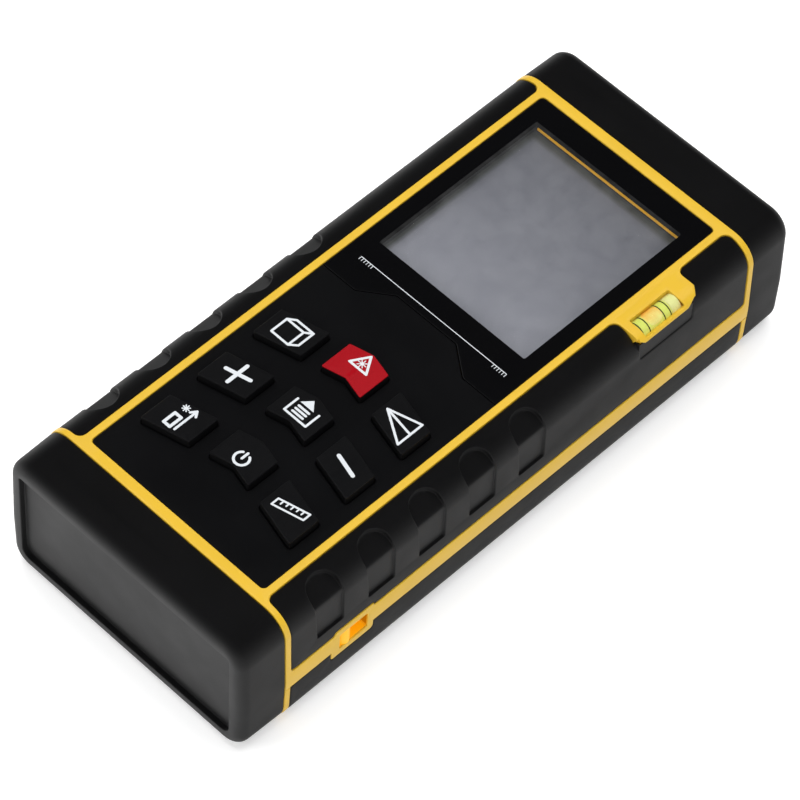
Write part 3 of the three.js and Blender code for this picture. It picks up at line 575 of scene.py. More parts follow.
def notches(side):
    """Hollows for one grip, side 1 on the right."""
    outlines = [notch_outline(NOTCH_FIRST + i * NOTCH_PITCH) for i in range(5)]
    if side < 0:
        outlines = [o[::-1] * np.array([-1, 1]) for o in outlines]
    return [(o, notch_floor, 0.16) for o in outlines]


def level_recess():
    """The hollow in the rubber below the level housing's rim."""
    outline = rectangle(at_z(POD_RIM - 0.75), at_z(20.3), POD_Y0 + 0.6, POD_Y1 - 1.6, 0.4)
    return outline, flat_floor(0.42), 0.4


NOTCH_COLUMNS = [at_z(NOTCH_CREASE[1]), at_x(NOTCH_START[0] + 0.3)]


def right_grip_shape():
    columns = np.union1d(columns_between(GRIP_X, GRIP_LOW), NOTCH_COLUMNS)
    hollows = [*notches(1), level_recess()]
    grip = patch(on_body, grip_outline(SEAM, shoulder_corners), dents=hollows, top=SKIN_DROP, edge=0.3,
                 columns=columns)
    near, far = POD_Y0 + 0.25, POD_Y1 - 1.6
    under_rim = loop((22.6, near), (24.5, near, 0.1), (24.5, far, 0.1), (24.32, far), (24.32, near + 0.3),
                     (22.6, near + 0.3))
    return joined(grip, prism(under_rim, 20.1, POD_RIM - SEAM))


def left_grip_shape():
    columns = np.union1d(columns_between(-GRIP_LOW, -GRIP_X), np.negative(NOTCH_COLUMNS))
    return patch(on_body, left_outline(SEAM), dents=notches(-1), top=SKIN_DROP, edge=0.3, columns=columns)


SCREWS = [(sx * 19.7, sy * 44.5) for sx in (-1, 1) for sy in (-1, 1)]
DOOR_LOW, DOOR_HIGH = box_mm("battery_door")
DOOR_GAP = 0.3


def overmould_shape():
    """The rubber back, from one side seam round to the other; u is measured on from the right side."""
    low, high = at_z(PARTING) + SEAM, ROUND - at_z(PARTING) - SEAM
    y = GRIP_Y - SEAM
    outline = loop(
        (low, -y, 0.8), (high, -y, 0.8), (high, y, 0.8), (low, y, 0.8),
        (low, LUG_Y[1] + SEAM, 0.35), (LUG_U[1] + SEAM, LUG_Y[1] + SEAM, 0.7),
        (LUG_U[1] + SEAM, LUG_Y[0] - SEAM, 0.3), (low, LUG_Y[0] - SEAM, 0.35),
    )
    middle = ROUND / 2
    door = rectangle(middle + DOOR_LOW[0] - DOOR_GAP, middle + DOOR_HIGH[0] + DOOR_GAP,
                     DOOR_LOW[1] - DOOR_GAP, 3.2 + DOOR_GAP, 1.0)
    holes = [circle(middle - x, y, 2.7) for x, y in SCREWS]
    return patch(on_body, outline, holes=[door, *holes], edge=0.3, columns=columns_between(low, high))


def stripes_shape():
    """Every yellow band of the front shell: round the face, along both sides, and the level's rim."""
    seam_low = at_z(PARTING)
    outline = loop(
        (-seam_low, -CAP_Y), (seam_low, -CAP_Y), (seam_low, LUG_Y[0]), (LUG_U[1], LUG_Y[0], 0.3),
        (LUG_U[1], LUG_Y[1], 0.7), (seam_low, LUG_Y[1]), (seam_low, CAP_Y), (-seam_low, CAP_Y),
    )
    panel = rectangle(-PANEL_X, PANEL_X, -PANEL_Y, PANEL_Y, 0.8)
    mouth = rectangle(MOUTH_X[0], POD.distance(0, MOUTH_X[1]), *MOUTH_Y, 0.3)
    pocket = rectangle(at_z(POCKET_Z[1]), at_z(POCKET_Z[0]), *POCKET_Y, 0.3)
    columns = np.union1d(columns_between(-seam_low, seam_low + 2), POD.along.round(4))
    holes = [panel, left_outline(0), grip_outline(0, pod_corners), mouth, pocket]
    return patch(on_stripes, outline, holes=holes, bottom=2.1, edge=0.14, columns=columns)


def back_stripe_shape(side):
    """The yellow band between the rubber back and one end cap."""
    low, high = at_z(PARTING) + SEAM, ROUND - at_z(PARTING) - SEAM
    ends = sorted((side * GRIP_Y, side * CAP_Y))
    return patch(on_body, rectangle(low, high, *ends), bottom=1.3, edge=0.2, columns=columns_between(low, high))


def shell_core(node):
    """The CAD shell with its outermost surfaces drawn in, so that the finer bands cover it."""
    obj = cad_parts[node]
    points = np.array([v.co for v in obj.data.vertices]) / MM
    x, y, z = points.T
    samples = np.linspace(0, ROUND, 1200)
    sx, sz = BODY.at(samples, 0)
    gap = np.hypot(x[:, None] - sx, z[:, None] - sz)
    nearest = gap.argmin(axis=1)
    near = (gap.min(axis=1) < 0.13) & (abs(y) < CAP_Y + 0.01)
    ax, az = BODY.at(samples[nearest[near]], np.full(near.sum(), 0.3))
    points[near, 0], points[near, 2] = ax, az
    pod = (x > 19) & (z > POD_RIM - 0.05) & (y > POD_Y0 - 0.3) & (y < POD_Y1 + 0.3)
    points[pod & (z > POD_RIM + 0.05), 2] -= 0.3
    points[pod, 0] = np.minimum(points[pod, 0], 24.3)
    points[pod, 1] = np.clip(points[pod, 1], POD_Y0 + 0.6, POD_Y1 - 0.5)
    far_end = (x > 23.4) & (y > POD_Y1 - 2) & (y < POD_Y1) & (z > 20) & (z < POD_RIM + 0.05)
    points[far_end, 0] = 23.4
    faces = [tuple(p.vertices) for p in obj.data.polygons]
    return points, faces, [core_look(*p.center / MM) for p in obj.data.polygons]


def core_look(x, y, z):
    """Which look a spot of a shell has: 1 deep in a hollow, where the yellow gets a painted glow for the light
    bouncing inside, 2 on the masked walls round the display.
    """
    in_pocket = x > 18 and POCKET_Y[0] - 0.1 < y < POCKET_Y[1] + 0.1 and POCKET_Z[0] - 0.1 < z < POCKET_Z[1] + 0.1
    in_trough = MOUTH_X[0] - 0.5 < x < 24.1 and 24.9 < y < 34.6 and 21.7 < z < 25.1
    by_display = abs(x) < 15.6 and 5 < y < 43.4 and 22.85 < z < 24.11
    return 1 if in_pocket or in_trough else 2 * by_display


def lug_post_shape():
    # look 1 gives the post the yellow with a painted glow, for the light bouncing inside the lug's pocket
    return prism(circle(*POST, POST_RADIUS, 40), LUG_Z[0] + 0.5, LUG_Z[1] - 0.5, look=1)


def trough_corner_shape():
    """The wall beside the vial's far end, under the mouth."""
    return prism(rectangle(23.6, 24.3, MOUTH_Y[1], MOUTH_Y[1] + 0.4), 22.5, 24.6)


def display_lip_shape():
    """The unmasked lip of the front shell along the display's far edge, in the yellow with a painted glow."""
    return prism(rectangle(-14.9, 15.0, 43.0, 43.28), 23.65, 24.1, look=1)


# ---- End caps and the optics plate ----


def cap_rings(side):
    """Rings of an end cap from its seam with the yellow band to the rim of its end face."""
    u = np.unique(np.concatenate([BODY.along[:-1], columns_between(0, ROUND)]).round(4))
    reach = END - SKIN_DROP
    bend = END_ROUND - SKIN_DROP
    edge = 0.25
    levels = [(CAP_Y + SEAM, SKIN - SEAM)]
    levels += [(CAP_Y + SEAM + edge * (1 - math.cos(a)), SKIN_DROP + edge * (1 - math.sin(a)))
               for a in np.linspace(0, math.pi / 2, 5)]
    levels += [(reach - bend + bend * math.sin(a),
                SKIN_DROP + bend * (1 - math.cos(a)) + CAP_TAPER * (reach - bend - CAP_Y + bend * math.sin(a)))
               for a in np.linspace(0, math.pi / 2, 12)]
    rings = []
    for y, depth in levels:
        x, z = BODY.at(u, np.full(len(u), depth))
        rings.append(np.column_stack([x, np.full(len(u), side * y), z]))
    return rings


def cap_shape(side, face_dents, look=0):
    """An end cap: a sleeve round the body, an end face with its hollows, and a plain inside."""
    rings = cap_rings(side)
    if side > 0:
        rings = [r[::-1] for r in rings]
    sleeve = ring_loft(rings[::-1], close_start=False, close_end=False)
    outline = rings[-1][:, [0, 2]] * np.array([-side, 1])
    if signed_area(outline) < 0:
        outline = outline[::-1]
    end = END - SKIN_DROP
    face_patch = patch(facing_end(side, end), outline, dents=face_dents, bottom=None, edge=0, row=1.5)
    inner = rings[0].copy()
    deep = inner.copy()
    deep[:, 1] = side * 55.65
    inside_skin = ring_loft([inner, deep], close_start=False)
    return joined(sleeve, face_patch, inside_skin)


def signed_area(points):
    x, y = points.T
    return (x * np.roll(y, -1) - np.roll(x, -1) * y).sum() / 2


def bottom_recess():
    low, high = RECESS_Z
    outline = loop((-RECESS_X, low, 1.6), (RECESS_X, low, 1.6), (RECESS_X, high, 0.5), (-RECESS_X, high, 0.5))
    return outline, flat_floor(RECESS_DEPTH), 0.2


# ---- Bubble level ----

VIAL_LOW, VIAL_HIGH = box_mm("level_vial")
VIAL_X, _, VIAL_Z = (VIAL_LOW + VIAL_HIGH) / 2
VIAL_RADIUS = (VIAL_HIGH[0] - VIAL_LOW[0]) / 2
FILL_RADIUS = VIAL_RADIUS - 0.08
RING_PLACES = (25.72, 27.1, 30.4, 31.65)


def turned_about_vial(profile, closed):
    """A shape of revolution about the vial's axis from (radius, y) pairs, its outer side running +Y."""
    angles = np.radians(np.arange(360, 0, -7.5))
    rings = [np.column_stack([VIAL_X + r * np.cos(angles), np.full(len(angles), y), VIAL_Z + r * np.sin(angles)])
             for r, y in profile]
    return ring_loft(rings, close_start=closed, close_end=closed)


def vial_filling_shape(node):
    """What fills the vial, as wide as the thick clear wall makes it look."""
    low, high = box_mm(node)
    profile = [(FILL_RADIUS - 0.1, low[1]), (FILL_RADIUS, low[1] + 0.1), (FILL_RADIUS, high[1] - 0.1),
               (FILL_RADIUS - 0.1, high[1])]
    return turned_about_vial(profile, closed=True)


def vial_rings_shape():
    """The four black lines printed round the vial."""
    inner, outer, half = VIAL_RADIUS - 0.02, VIAL_RADIUS - 0.003, 0.08
    return joined(*[
        turned_about_vial([(outer, y - half), (outer, y + half), (inner, y + half), (inner, y - half),
                           (outer, y - half)], closed=False)
        for y in RING_PLACES
    ])


def on_vial(u, v, depth):
    radius = FILL_RADIUS + 0.02 - depth
    angle = u / FILL_RADIUS
    return np.column_stack([VIAL_X + radius * np.sin(angle), v, VIAL_Z + radius * np.cos(angle)])


def bubble_shape():
    """The bubble, a thin lens of air that lies against the top of the vial's wall."""
    low, high = box_mm("level_bubble")
    outline = rectangle(-1.7, 1.7, low[1], high[1], 1.3)
    return patch(on_vial, outline, bottom=0.1, edge=0.05, columns=np.arange(-1.6, 1.7, 0.2), row=0.3)


def optics_plate_shape():
    plate = rectangle(-18.3, 18.3, 4.0, 21.0, 2.3)
    receiver = circle(-5.5, 10.6, 5.8, 72)
    port = circle(9.5, 10.6, 1.8, 40)
    return patch(facing_end(1, 57.0), plate, holes=[receiver, port], bottom=1.3, edge=0.15)


# ---- Display window, keypad plate and keys ----

WINDOW_TOP = HEIGHT - 0.02
CLEAR = (-15.15, 15.15, 9.0, 43.0)


def window_outline(margin):
    """The window's outline, its lower edge stepping up over the top middle key."""
    x, y = PANEL_X - margin, PANEL_Y - margin
    return loop((-x, 0), (-11.3, 0, 0.6), (-6.2, 3.8, 0.8), (6.2, 3.8, 0.8), (11.3, 0, 0.6), (x, 0),
                (x, y, 0.8), (-x, y, 0.8))


def window_shape():
    clear = rectangle(*CLEAR, 0.3)
    border = patch(facing_up(WINDOW_TOP), window_outline(SEAM), holes=[clear], bottom=1.1, edge=0.25,
                   hole_edge=0, row=4)
    pane = prism(clear, 24.38, WINDOW_TOP, look=1)
    return joined(border, pane)


def keypad_outline():
    x, y = PANEL_X - SEAM, -0.1
    return loop((-x, -PANEL_Y + SEAM, 0.8), (x, -PANEL_Y + SEAM, 0.8), (x, y), (11.25, y, 0.6),
                (6.15, 3.7, 0.8), (-6.15, 3.7, 0.8), (-11.25, y, 0.6), (-x, y))


KEY_WIDTH, KEY_HEIGHT, KEY_COLUMN, KEY_ROW, KEY_FIRST, KEY_SLOPE = 8.1, 5.95, 11.45, 11.35, -10.2, 0.25
KEYS = ["volume", "measure", "triangle", "plus", "recall", "minus", "reference", "power", "unit"]


def key_outline(row, column, margin, radius):
    """A slice of a chevron band: the middle keys point up and the outer ones slope."""
    centre = column * KEY_COLUMN
    half = KEY_WIDTH / 2 + margin
    stations = [centre - half, 0, centre + half] if column == 0 else [centre - half, centre + half]
    line = [KEY_FIRST - row * KEY_ROW - KEY_SLOPE * abs(x) for x in stations]
    rise = KEY_HEIGHT / 2 + margin
    lower = [(x, y - rise, radius) for x, y in zip(stations, line)]
    upper = [(x, y + rise, radius) for x, y in zip(stations, line)][::-1]
    return loop(*lower, *upper)


KEY_PLACES = [(row, column) for row in range(3) for column in (-1, 0, 1)]


def keypad_plate_shape():
    holes = [key_outline(row, column, 0.2, 0.5) for row, column in KEY_PLACES]
    return patch(facing_up(HEIGHT - SKIN_DROP), keypad_outline(), holes=holes, bottom=1.0, edge=0.15, row=2)


KEY_EDGE = 0.12


def key_shape(name, row, column):
    """A key: its top with crisp edges, the block below it, its wider foot and its raised symbol."""
    low, high = box_mm(f"key_{name}")
    middle = (low + high)[:2] / 2
    top = high[2] - 0.02
    cap = patch(facing_up(top), key_outline(row, column, 0, 0.25), bottom=KEY_EDGE + 0.02, edge=KEY_EDGE)
    block = prism(key_outline(row, column, 0, 0.25), low[2], top - KEY_EDGE, look=2)
    foot = prism(key_outline(row, column, 0.5, 0.5), low[2], 24.0, look=2)
    mark = cut_outs([outline + middle for outline in SYMBOLS[name]()], top - 0.1, high[2], look=1)
    return joined(cap, block, foot, mark)


# ---- Key symbols: filled outlines round the middle of each key ----


def stroke(a, b, width=0.38):
    """A straight line with round ends."""
    a, b = np.array(a, float), np.array(b, float)
    start = math.atan2(*(b - a)[::-1])
    turns = np.radians(np.arange(0, 181, 22.5))
    far = [b + width / 2 * np.array([math.cos(start - math.pi / 2 + t), math.sin(start - math.pi / 2 + t)])
           for t in turns]
    near = [a + width / 2 * np.array([math.cos(start + math.pi / 2 + t), math.sin(start + math.pi / 2 + t)])
            for t in turns]
    return np.array(far + near)


def strokes(*points, width=0.38):
    return [stroke(a, b, width) for a, b in zip(points, points[1:])]


def box_symbol():
    front = [(-2.21, -1.97), (1.31, -1.97), (1.31, 1.26), (-2.21, 1.26), (-2.21, -1.97)]
    back = [(-2.21, 1.26), (-1.0, 2.15), (2.49, 2.15), (2.49, -0.95), (1.31, -1.97)]
    return strokes(*front) + strokes(*back) + strokes((1.31, 1.26), (2.49, 2.15))


def laser_symbol():
    outline = strokes((-1.75, 0.18), (1.72, 0.18), (-0.08, 3.03), (-1.75, 0.18), width=0.4)
    rays = [stroke((-0.1 - 0.75 * math.cos(a), 1.16 - 0.75 * math.sin(a)),
                   (-0.1 + 0.75 * math.cos(a), 1.16 + 0.75 * math.sin(a)), 0.16)
            for a in np.radians((0, 45, 90, 135))]
    return outline + rays + [circle(-0.1, 1.16, 0.3, 16)]


def triangle_symbol():
    return strokes((-3.2, 0.38), (2.39, 2.0), (2.39, -3.06), (-3.2, 0.38), (2.2, -0.49))


def plus_symbol():
    return [stroke((0.05, 2.3), (0.05, -1.75), 0.65), stroke((-1.9, -0.2), (2.25, 0.82), 0.65)]


def minus_symbol():
    return [stroke((-2.1, 0.7), (1.85, -0.38), 0.65)]


def memory_symbol():
    tray = strokes((-2.1, 1.31), (-2.1, -1.5), (2.3, -1.5), (2.3, 1.31))
    roof = [np.array([(-1.45, 1.15), (1.3, 1.15), (-0.08, 2.7)])]
    lines = [stroke((-1.1, y), (1.0, y), 0.4) for y in (0.5, -0.15, -0.8)]
    return tray + roof + lines


def reference_symbol():
    block = strokes((-1.15, 0.2), (-1.15, -2.1), (0.15, -2.1), (0.15, 0.2), (-1.15, 0.2), width=0.5)
    arrow = strokes((0.95, -1.9), (0.95, 2.6), width=0.4)
    arrow += strokes((0.35, 1.8), (0.95, 2.65), (1.55, 1.8), width=0.4)
    star = [stroke((-0.6 - 0.6 * math.cos(a), 1.91 - 0.6 * math.sin(a)),
                   (-0.6 + 0.6 * math.cos(a), 1.91 + 0.6 * math.sin(a)), 0.2)
            for a in np.radians((0, 45, 90, 135))]
    return block + arrow + star


def power_symbol():
    angles = np.radians(np.arange(125, 416, 14.5))
    ring = [(0.01 + 1.2 * math.cos(a), -0.8 + 1.2 * math.sin(a)) for a in angles]
    return strokes(*ring, width=0.42) + [stroke((0.01, 0.5), (0.01, -0.75), 0.42)]


def ruler_symbol():
    frame_line = strokes((-2.7, -0.95), (2.5, 0.35), (2.5, 1.75), (-2.7, 0.45), (-2.7, -0.95), width=0.32)
    ticks = [stroke((x, 0.45 + (x + 2.7) * 0.25), (x, -0.25 + (x + 2.7) * 0.25 + 0.1 * (i % 2)), 0.26)
             for i, x in enumerate((-1.8, -0.95, -0.1, 0.75, 1.6))]
    return frame_line + ticks


SYMBOLS = {
    "volume": box_symbol,
    "measure": laser_symbol,
    "triangle": triangle_symbol,
    "plus": plus_symbol,
    "recall": memory_symbol,
    "minus": minus_symbol,
    "reference": reference_symbol,
    "power": power_symbol,
    "unit": ruler_symbol,
}


def scale_marks_shape():
    """The printed line under the display with a comb of short ticks at each end."""
    lines = [stroke((-15.0, 5.1), (15.3, 5.1), 0.12)]
    lines += [stroke((side + i * 0.5, 5.1), (side + i * 0.5, 4.5), 0.1) for side in (-15.0, 12.8) for i in range(6)]
    return cut_outs(lines, WINDOW_TOP - 0.1, HEIGHT)


# ---- Materials ----


class Shader:
    """A node material under construction."""

    def __init__(self, name):
        self.material = bpy.data.materials.new(name)
        self.material.use_nodes = True
        self.tree = self.material.node_tree
        self.tree.nodes.clear()
        self.output = self.tree.nodes.new("ShaderNodeOutputMaterial")
        self.coordinates = self.node("ShaderNodeTexCoord").outputs["Object"]

    def node(self, kind, settings=None, **inputs):
        made = self.tree.nodes.new(kind)
        for key, value in (settings or {}).items():
            setattr(made, key, value)
        for key, value in inputs.items():
            self.set(made.inputs[key.replace("_", " ")], value)
        return made

    def set(self, socket, value):
        if isinstance(value, bpy.types.NodeSocket):
            self.tree.links.new(value, socket)
        else:
            socket.default_value = value

    def noise(self, size_mm, detail=3.0):
        """Noise whose blotches are about size_mm across, centred on 0.5."""
        made = self.node("ShaderNodeTexNoise", Vector=self.coordinates, Scale=1000 / size_mm, Detail=detail)
        return made.outputs["Fac"]

    def mapped(self, value, low, high, from_low=0.3, from_high=0.7):
        made = self.node("ShaderNodeMapRange", Value=value, From_Min=from_low, From_Max=from_high,
                         To_Min=low, To_Max=high)
        return made.outputs["Result"]

    def mixed(self, share, first, second):
        made = self.node("ShaderNodeMix", {"data_type": "RGBA"})
        self.set(made.inputs["Factor"], share)
        self.set(made.inputs["A"], first)
        self.set(made.inputs["B"], second)
        return made.outputs["Result"]

    def product(self, first, second, operation="MULTIPLY"):
        made = self.node("ShaderNodeMath", {"operation": operation})
        self.set(made.inputs[0], first)
        self.set(made.inputs[1], second)
        return made.outputs[0]

    def blended(self, share, first, second):
        made = self.node("ShaderNodeMixShader", Fac=share)
        self.set(made.inputs[1], first)
        self.set(made.inputs[2], second)
        return made.outputs["Shader"]

    def edges(self, radius_mm=0.25):
        """1 on edges and corners, 0 on flats."""
        soft = self.node("ShaderNodeBevel", {"samples": 4}, Radius=radius_mm * MM).outputs["Normal"]
        true = self.node("ShaderNodeNewGeometry").outputs["Normal"]
        both = self.node("ShaderNodeVectorMath", {"operation": "DOT_PRODUCT"})
        self.set(both.inputs[0], soft)
        self.set(both.inputs[1], true)
        return self.mapped(both.outputs["Value"], 1.0, 0.0, 0.75, 0.995)

    def bump(self, height, distance_mm, strength=1.0):
        return self.node("ShaderNodeBump", Strength=strength, Distance=distance_mm * MM,
                         Height=height).outputs["Normal"]

    def finish(self, surface):
        self.tree.links.new(surface, self.output.inputs["Surface"])
        return self.material


def moulded(name, color, roughness, grain_mm=0.12, grain_depth=0.01, vary=0.06, edge_tint=1.25, **extra):
    """A moulded plastic or rubber: cloudy colour, fine grain, uneven gloss and paler worn edges."""
    s = Shader(name)
    dark = (*[c * (1 - vary) for c in color], 1)
    light = (*[min(1, c * (1 + vary)) for c in color], 1)
    base = s.mixed(s.mapped(s.noise(9.0), 0, 1), dark, light)
    worn = (*[min(1, c * edge_tint + 0.002) for c in color], 1)
    base = s.mixed(s.product(s.edges(), s.mapped(s.noise(2.5), 0.1, 0.7)), base, worn)
    gloss = s.mapped(s.noise(5.0), roughness * 0.95, roughness * 1.05)
    normal = s.bump(s.noise(grain_mm, 2.0), grain_depth)
    surface = s.node("ShaderNodeBsdfPrincipled", Base_Color=base, Roughness=gloss, Normal=normal, **extra)
    return s.finish(surface.outputs["BSDF"])


def metal(name, color, roughness, grain_mm=0.4, stretch=(1, 1, 1)):
    """Bare metal with fine brushed streaks and brighter edges."""
    s = Shader(name)
    placed = s.node("ShaderNodeMapping", Vector=s.coordinates, Scale=stretch).outputs["Vector"]
    streaks = s.node("ShaderNodeTexNoise", Vector=placed, Scale=1000 / grain_mm, Detail=4.0).outputs["Fac"]
    dull = (*[c * 0.8 for c in color], 1)
    bright = (*[min(1, c * 1.1) for c in color], 1)
    base = s.mixed(s.mapped(streaks, 0, 1), dull, (*color, 1))
    base = s.mixed(s.edges(0.15), base, bright)
    gloss = s.mapped(streaks, roughness * 0.8, roughness * 1.25)
    surface = s.node("ShaderNodeBsdfPrincipled", Base_Color=base, Metallic=1.0, Roughness=gloss,
                     Normal=s.bump(streaks, 0.004))
    return s.finish(surface.outputs["BSDF"])


def clear(name, tint, glossy=0.06, haze=0.03):
    """A clear pane or vial that lets light straight through, with reflections and a faint haze."""
    s = Shader(name)
    smudge = s.mapped(s.noise(6.0), glossy * 0.7, glossy * 1.6)
    shine = s.node("ShaderNodeBsdfGlossy", Color=(1, 1, 1, 1), Roughness=smudge).outputs["BSDF"]
    film = s.node("ShaderNodeBsdfDiffuse", Color=(*tint, 1)).outputs["BSDF"]
    through = s.node("ShaderNodeBsdfTransparent", Color=(*tint, 1)).outputs["BSDF"]
    veil = s.blended(s.mapped(s.noise(3.0), haze * 0.5, haze * 1.5), through, film)
    outward = s.mapped(s.node("ShaderNodeNewGeometry").outputs["Backfacing"], 1.0, 0.0, 0.0, 1.0)
    mirrored = s.product(s.node("ShaderNodeFresnel", IOR=1.45).outputs["Fac"], outward)
    return s.finish(s.blended(mirrored, veil, shine))


def lcd_material():
    """The display's grey cell, darker towards its far end, with a painted shadow of the window frame as a dim
    greenish band along its far and left edges.
    """
    s = Shader("lcd")
    place = s.node("ShaderNodeSeparateXYZ", Vector=s.coordinates)
    # Painted shadow of the window frame: it fades in from the left and far edges.
    left = s.mapped(place.outputs["X"], 0.0, 1.0, -15.2 * MM, -14.3 * MM)
    far = s.mapped(place.outputs["Y"], 1.0, 0.0, 41.6 * MM, 42.5 * MM)
    inner = s.product(left, far)
    base = s.mixed(s.mapped(s.noise(14.0), 0, 1), (0.243, 0.239, 0.263, 1), (0.27, 0.265, 0.291, 1))
    # Darker towards the far end.
    base = s.mixed(s.mapped(place.outputs["Y"], 0.0, 0.6, 14 * MM, 43 * MM), base, (0.045, 0.045, 0.053, 1))
    base = s.mixed(inner, (0.062, 0.066, 0.058, 1), base)
    surface = s.node("ShaderNodeBsdfPrincipled", Base_Color=base, Roughness=s.mapped(s.noise(1.0), 0.5, 0.6),
                     Normal=s.bump(s.noise(0.2), 0.0002))
    return s.finish(surface.outputs["BSDF"])


def painted_glow_filling(name, first, second, across, roughness, painted_glow):
    """A clear filling with a painted glow in place of the light that gets into it, in two tones across X; across is
    how it varies in X.
    """
    s = Shader(name)
    x = s.node("ShaderNodeSeparateXYZ", Vector=s.coordinates).outputs["X"]
    share = s.node("ShaderNodeMath", {"operation": "MULTIPLY_ADD"})
    s.set(share.inputs[0], s.mapped(x, 0, 1, (VIAL_X - across) * MM, (VIAL_X + across) * MM))
    share.inputs[1].default_value = 0.7
    s.set(share.inputs[2], s.mapped(s.noise(1.2), 0, 0.3))
    base = s.mixed(share.outputs[0], (*first, 1), (*second, 1))
    # The emission is the painted glow, in the filling's own colours.
    surface = s.node("ShaderNodeBsdfPrincipled", Base_Color=base, Emission_Color=base, Emission_Strength=painted_glow,
                     Roughness=s.mapped(s.noise(2.0), roughness * 0.7, roughness * 1.3))
    return s.finish(surface.outputs["BSDF"])


def board_material():
    """A green circuit board with faint copper tracks under its mask."""
    s = Shader("circuit_board")
    tracks = s.node("ShaderNodeTexBrick", Vector=s.coordinates, Scale=260.0)
    tracks.inputs["Color1"].default_value = (0.01, 0.09, 0.03, 1)
    tracks.inputs["Color2"].default_value = (0.014, 0.12, 0.04, 1)
    tracks.inputs["Mortar"].default_value = (0.03, 0.2, 0.07, 1)
    base = s.mixed(s.edges(), tracks.outputs["Color"], (0.25, 0.22, 0.12, 1))
    surface = s.node("ShaderNodeBsdfPrincipled", Base_Color=base, Roughness=s.mapped(s.noise(4.0), 0.3, 0.5),
                     Normal=s.bump(tracks.outputs["Fac"], 0.02))
    return s.finish(surface.outputs["BSDF"])


def cell_material():
    """An AAA cell: a blue jacket with a copper-coloured end and bare steel beyond it."""
    s = Shader("cell_jacket")
    along = s.node("ShaderNodeSeparateXYZ", Vector=s.coordinates).outputs["Y"]
    band = s.mapped(along, 0, 1, -0.0125, -0.0123)
    base = s.mixed(band, (0.02, 0.08, 0.25, 1), (0.55, 0.3, 0.12, 1))
    base = s.mixed(s.mapped(s.noise(3.0), 0, 0.15), base, (0.01, 0.02, 0.05, 1))
    surface = s.node("ShaderNodeBsdfPrincipled", Base_Color=base, Metallic=0.4,
                     Roughness=s.mapped(s.noise(2.0), 0.22, 0.34), Normal=s.bump(s.noise(0.3), 0.003))
    return s.finish(surface.outputs["BSDF"])


YELLOW = moulded("yellow_plastic", (0.69, 0.43, 0.028), 0.36, 0.2, 0.004, 0.03, 1.15)
# The yellow with a painted glow: a deeper orange copy of the yellow that also emits light. It is painted in for the
# light that bounces inside the shell's hollows, the lug's post and the lip along the display.
YELLOW_PAINTED_GLOW = moulded("yellow_painted_glow", (0.86, 0.44, 0.005), 0.5, 0.2, 0.004, 0.03, 1.1,
                Emission_Color=(0.86, 0.4, 0.002, 1), Emission_Strength=0.3)
RUBBER = moulded("black_rubber", (0.0036, 0.0035, 0.0038), 0.58, 0.16, 0.014, 0.1, 1.7)
MATT_BLACK = moulded("black_plastic", (0.0032, 0.0032, 0.0037), 0.5, 0.12, 0.006, 0.1, 1.6)
GLOSS_BLACK = moulded("window_plastic", (0.003, 0.003, 0.0034), 0.08, 0.5, 0.0004, 0.05, 1.4)
KEY_BLACK = moulded("key_rubber", (0.0042, 0.0042, 0.0047), 0.52, 0.13, 0.006, 0.1, 1.7)
KEY_RED = moulded("key_red_rubber", (0.31, 0.001, 0.006), 0.55, 0.13, 0.005, 0.05, 1.2, Specular_IOR_Level=0.2)
PRINT = moulded("key_print", (0.66, 0.69, 0.72), 0.5, 0.1, 0.002, 0.03, 1.0)
WHITE = moulded("white_plastic", (0.75, 0.75, 0.72), 0.45, 0.2, 0.003)
FILTER = moulded("red_filter", (0.2, 0.01, 0.01), 0.1, 0.4, 0.0005)
POLYIMIDE = moulded("polyimide", (0.35, 0.14, 0.02), 0.35, 0.3, 0.002)
WIRE_RED = moulded("wire_red", (0.4, 0.02, 0.02), 0.4, 0.2, 0.003)
WIRE_BLACK = moulded("wire_black", (0.012, 0.012, 0.012), 0.4, 0.2, 0.003)
ALUMINIUM = metal("cast_aluminium", (0.55, 0.56, 0.58), 0.45, 0.5)
STEEL = metal("steel", (0.6, 0.61, 0.62), 0.28, 0.2, (1, 6, 1))
BRASS = metal("brass", (0.65, 0.45, 0.16), 0.3, 0.2, (1, 1, 8))
PANE = clear("clear_plastic", (0.93, 0.94, 0.95), 0.03, 0.02)
VIAL = clear("vial_plastic", (0.93, 0.97, 0.8), 0.05, 0.02)
LENS = clear("optical_glass", (0.85, 0.9, 0.95), 0.02, 0.01)
# Bubble: orange on its -X side as a painted reflection of the yellow housing round it, paler towards +X, with a
# painted glow. Fluid and plug: a painted glow, with a darker tone towards -X.
BUBBLE_PAINTED_GLOW = painted_glow_filling("air", (0.75, 0.3, 0.02), (0.72, 0.66, 0.3), 1.2, 0.08, 0.25)
FLUID_PAINTED_GLOW = painted_glow_filling("level_fluid", (0.52, 0.55, 0.12), (0.6, 0.62, 0.18), 1.7, 0.1, 0.3)
PLUG_PAINTED_GLOW = painted_glow_filling("vial_plug", (0.62, 0.58, 0.28), (0.7, 0.66, 0.4), 1.7, 0.4, 0.2)
LCD = lcd_material()
BOARD = board_material()
JACKET = cell_material()


# ---- Assembly ----


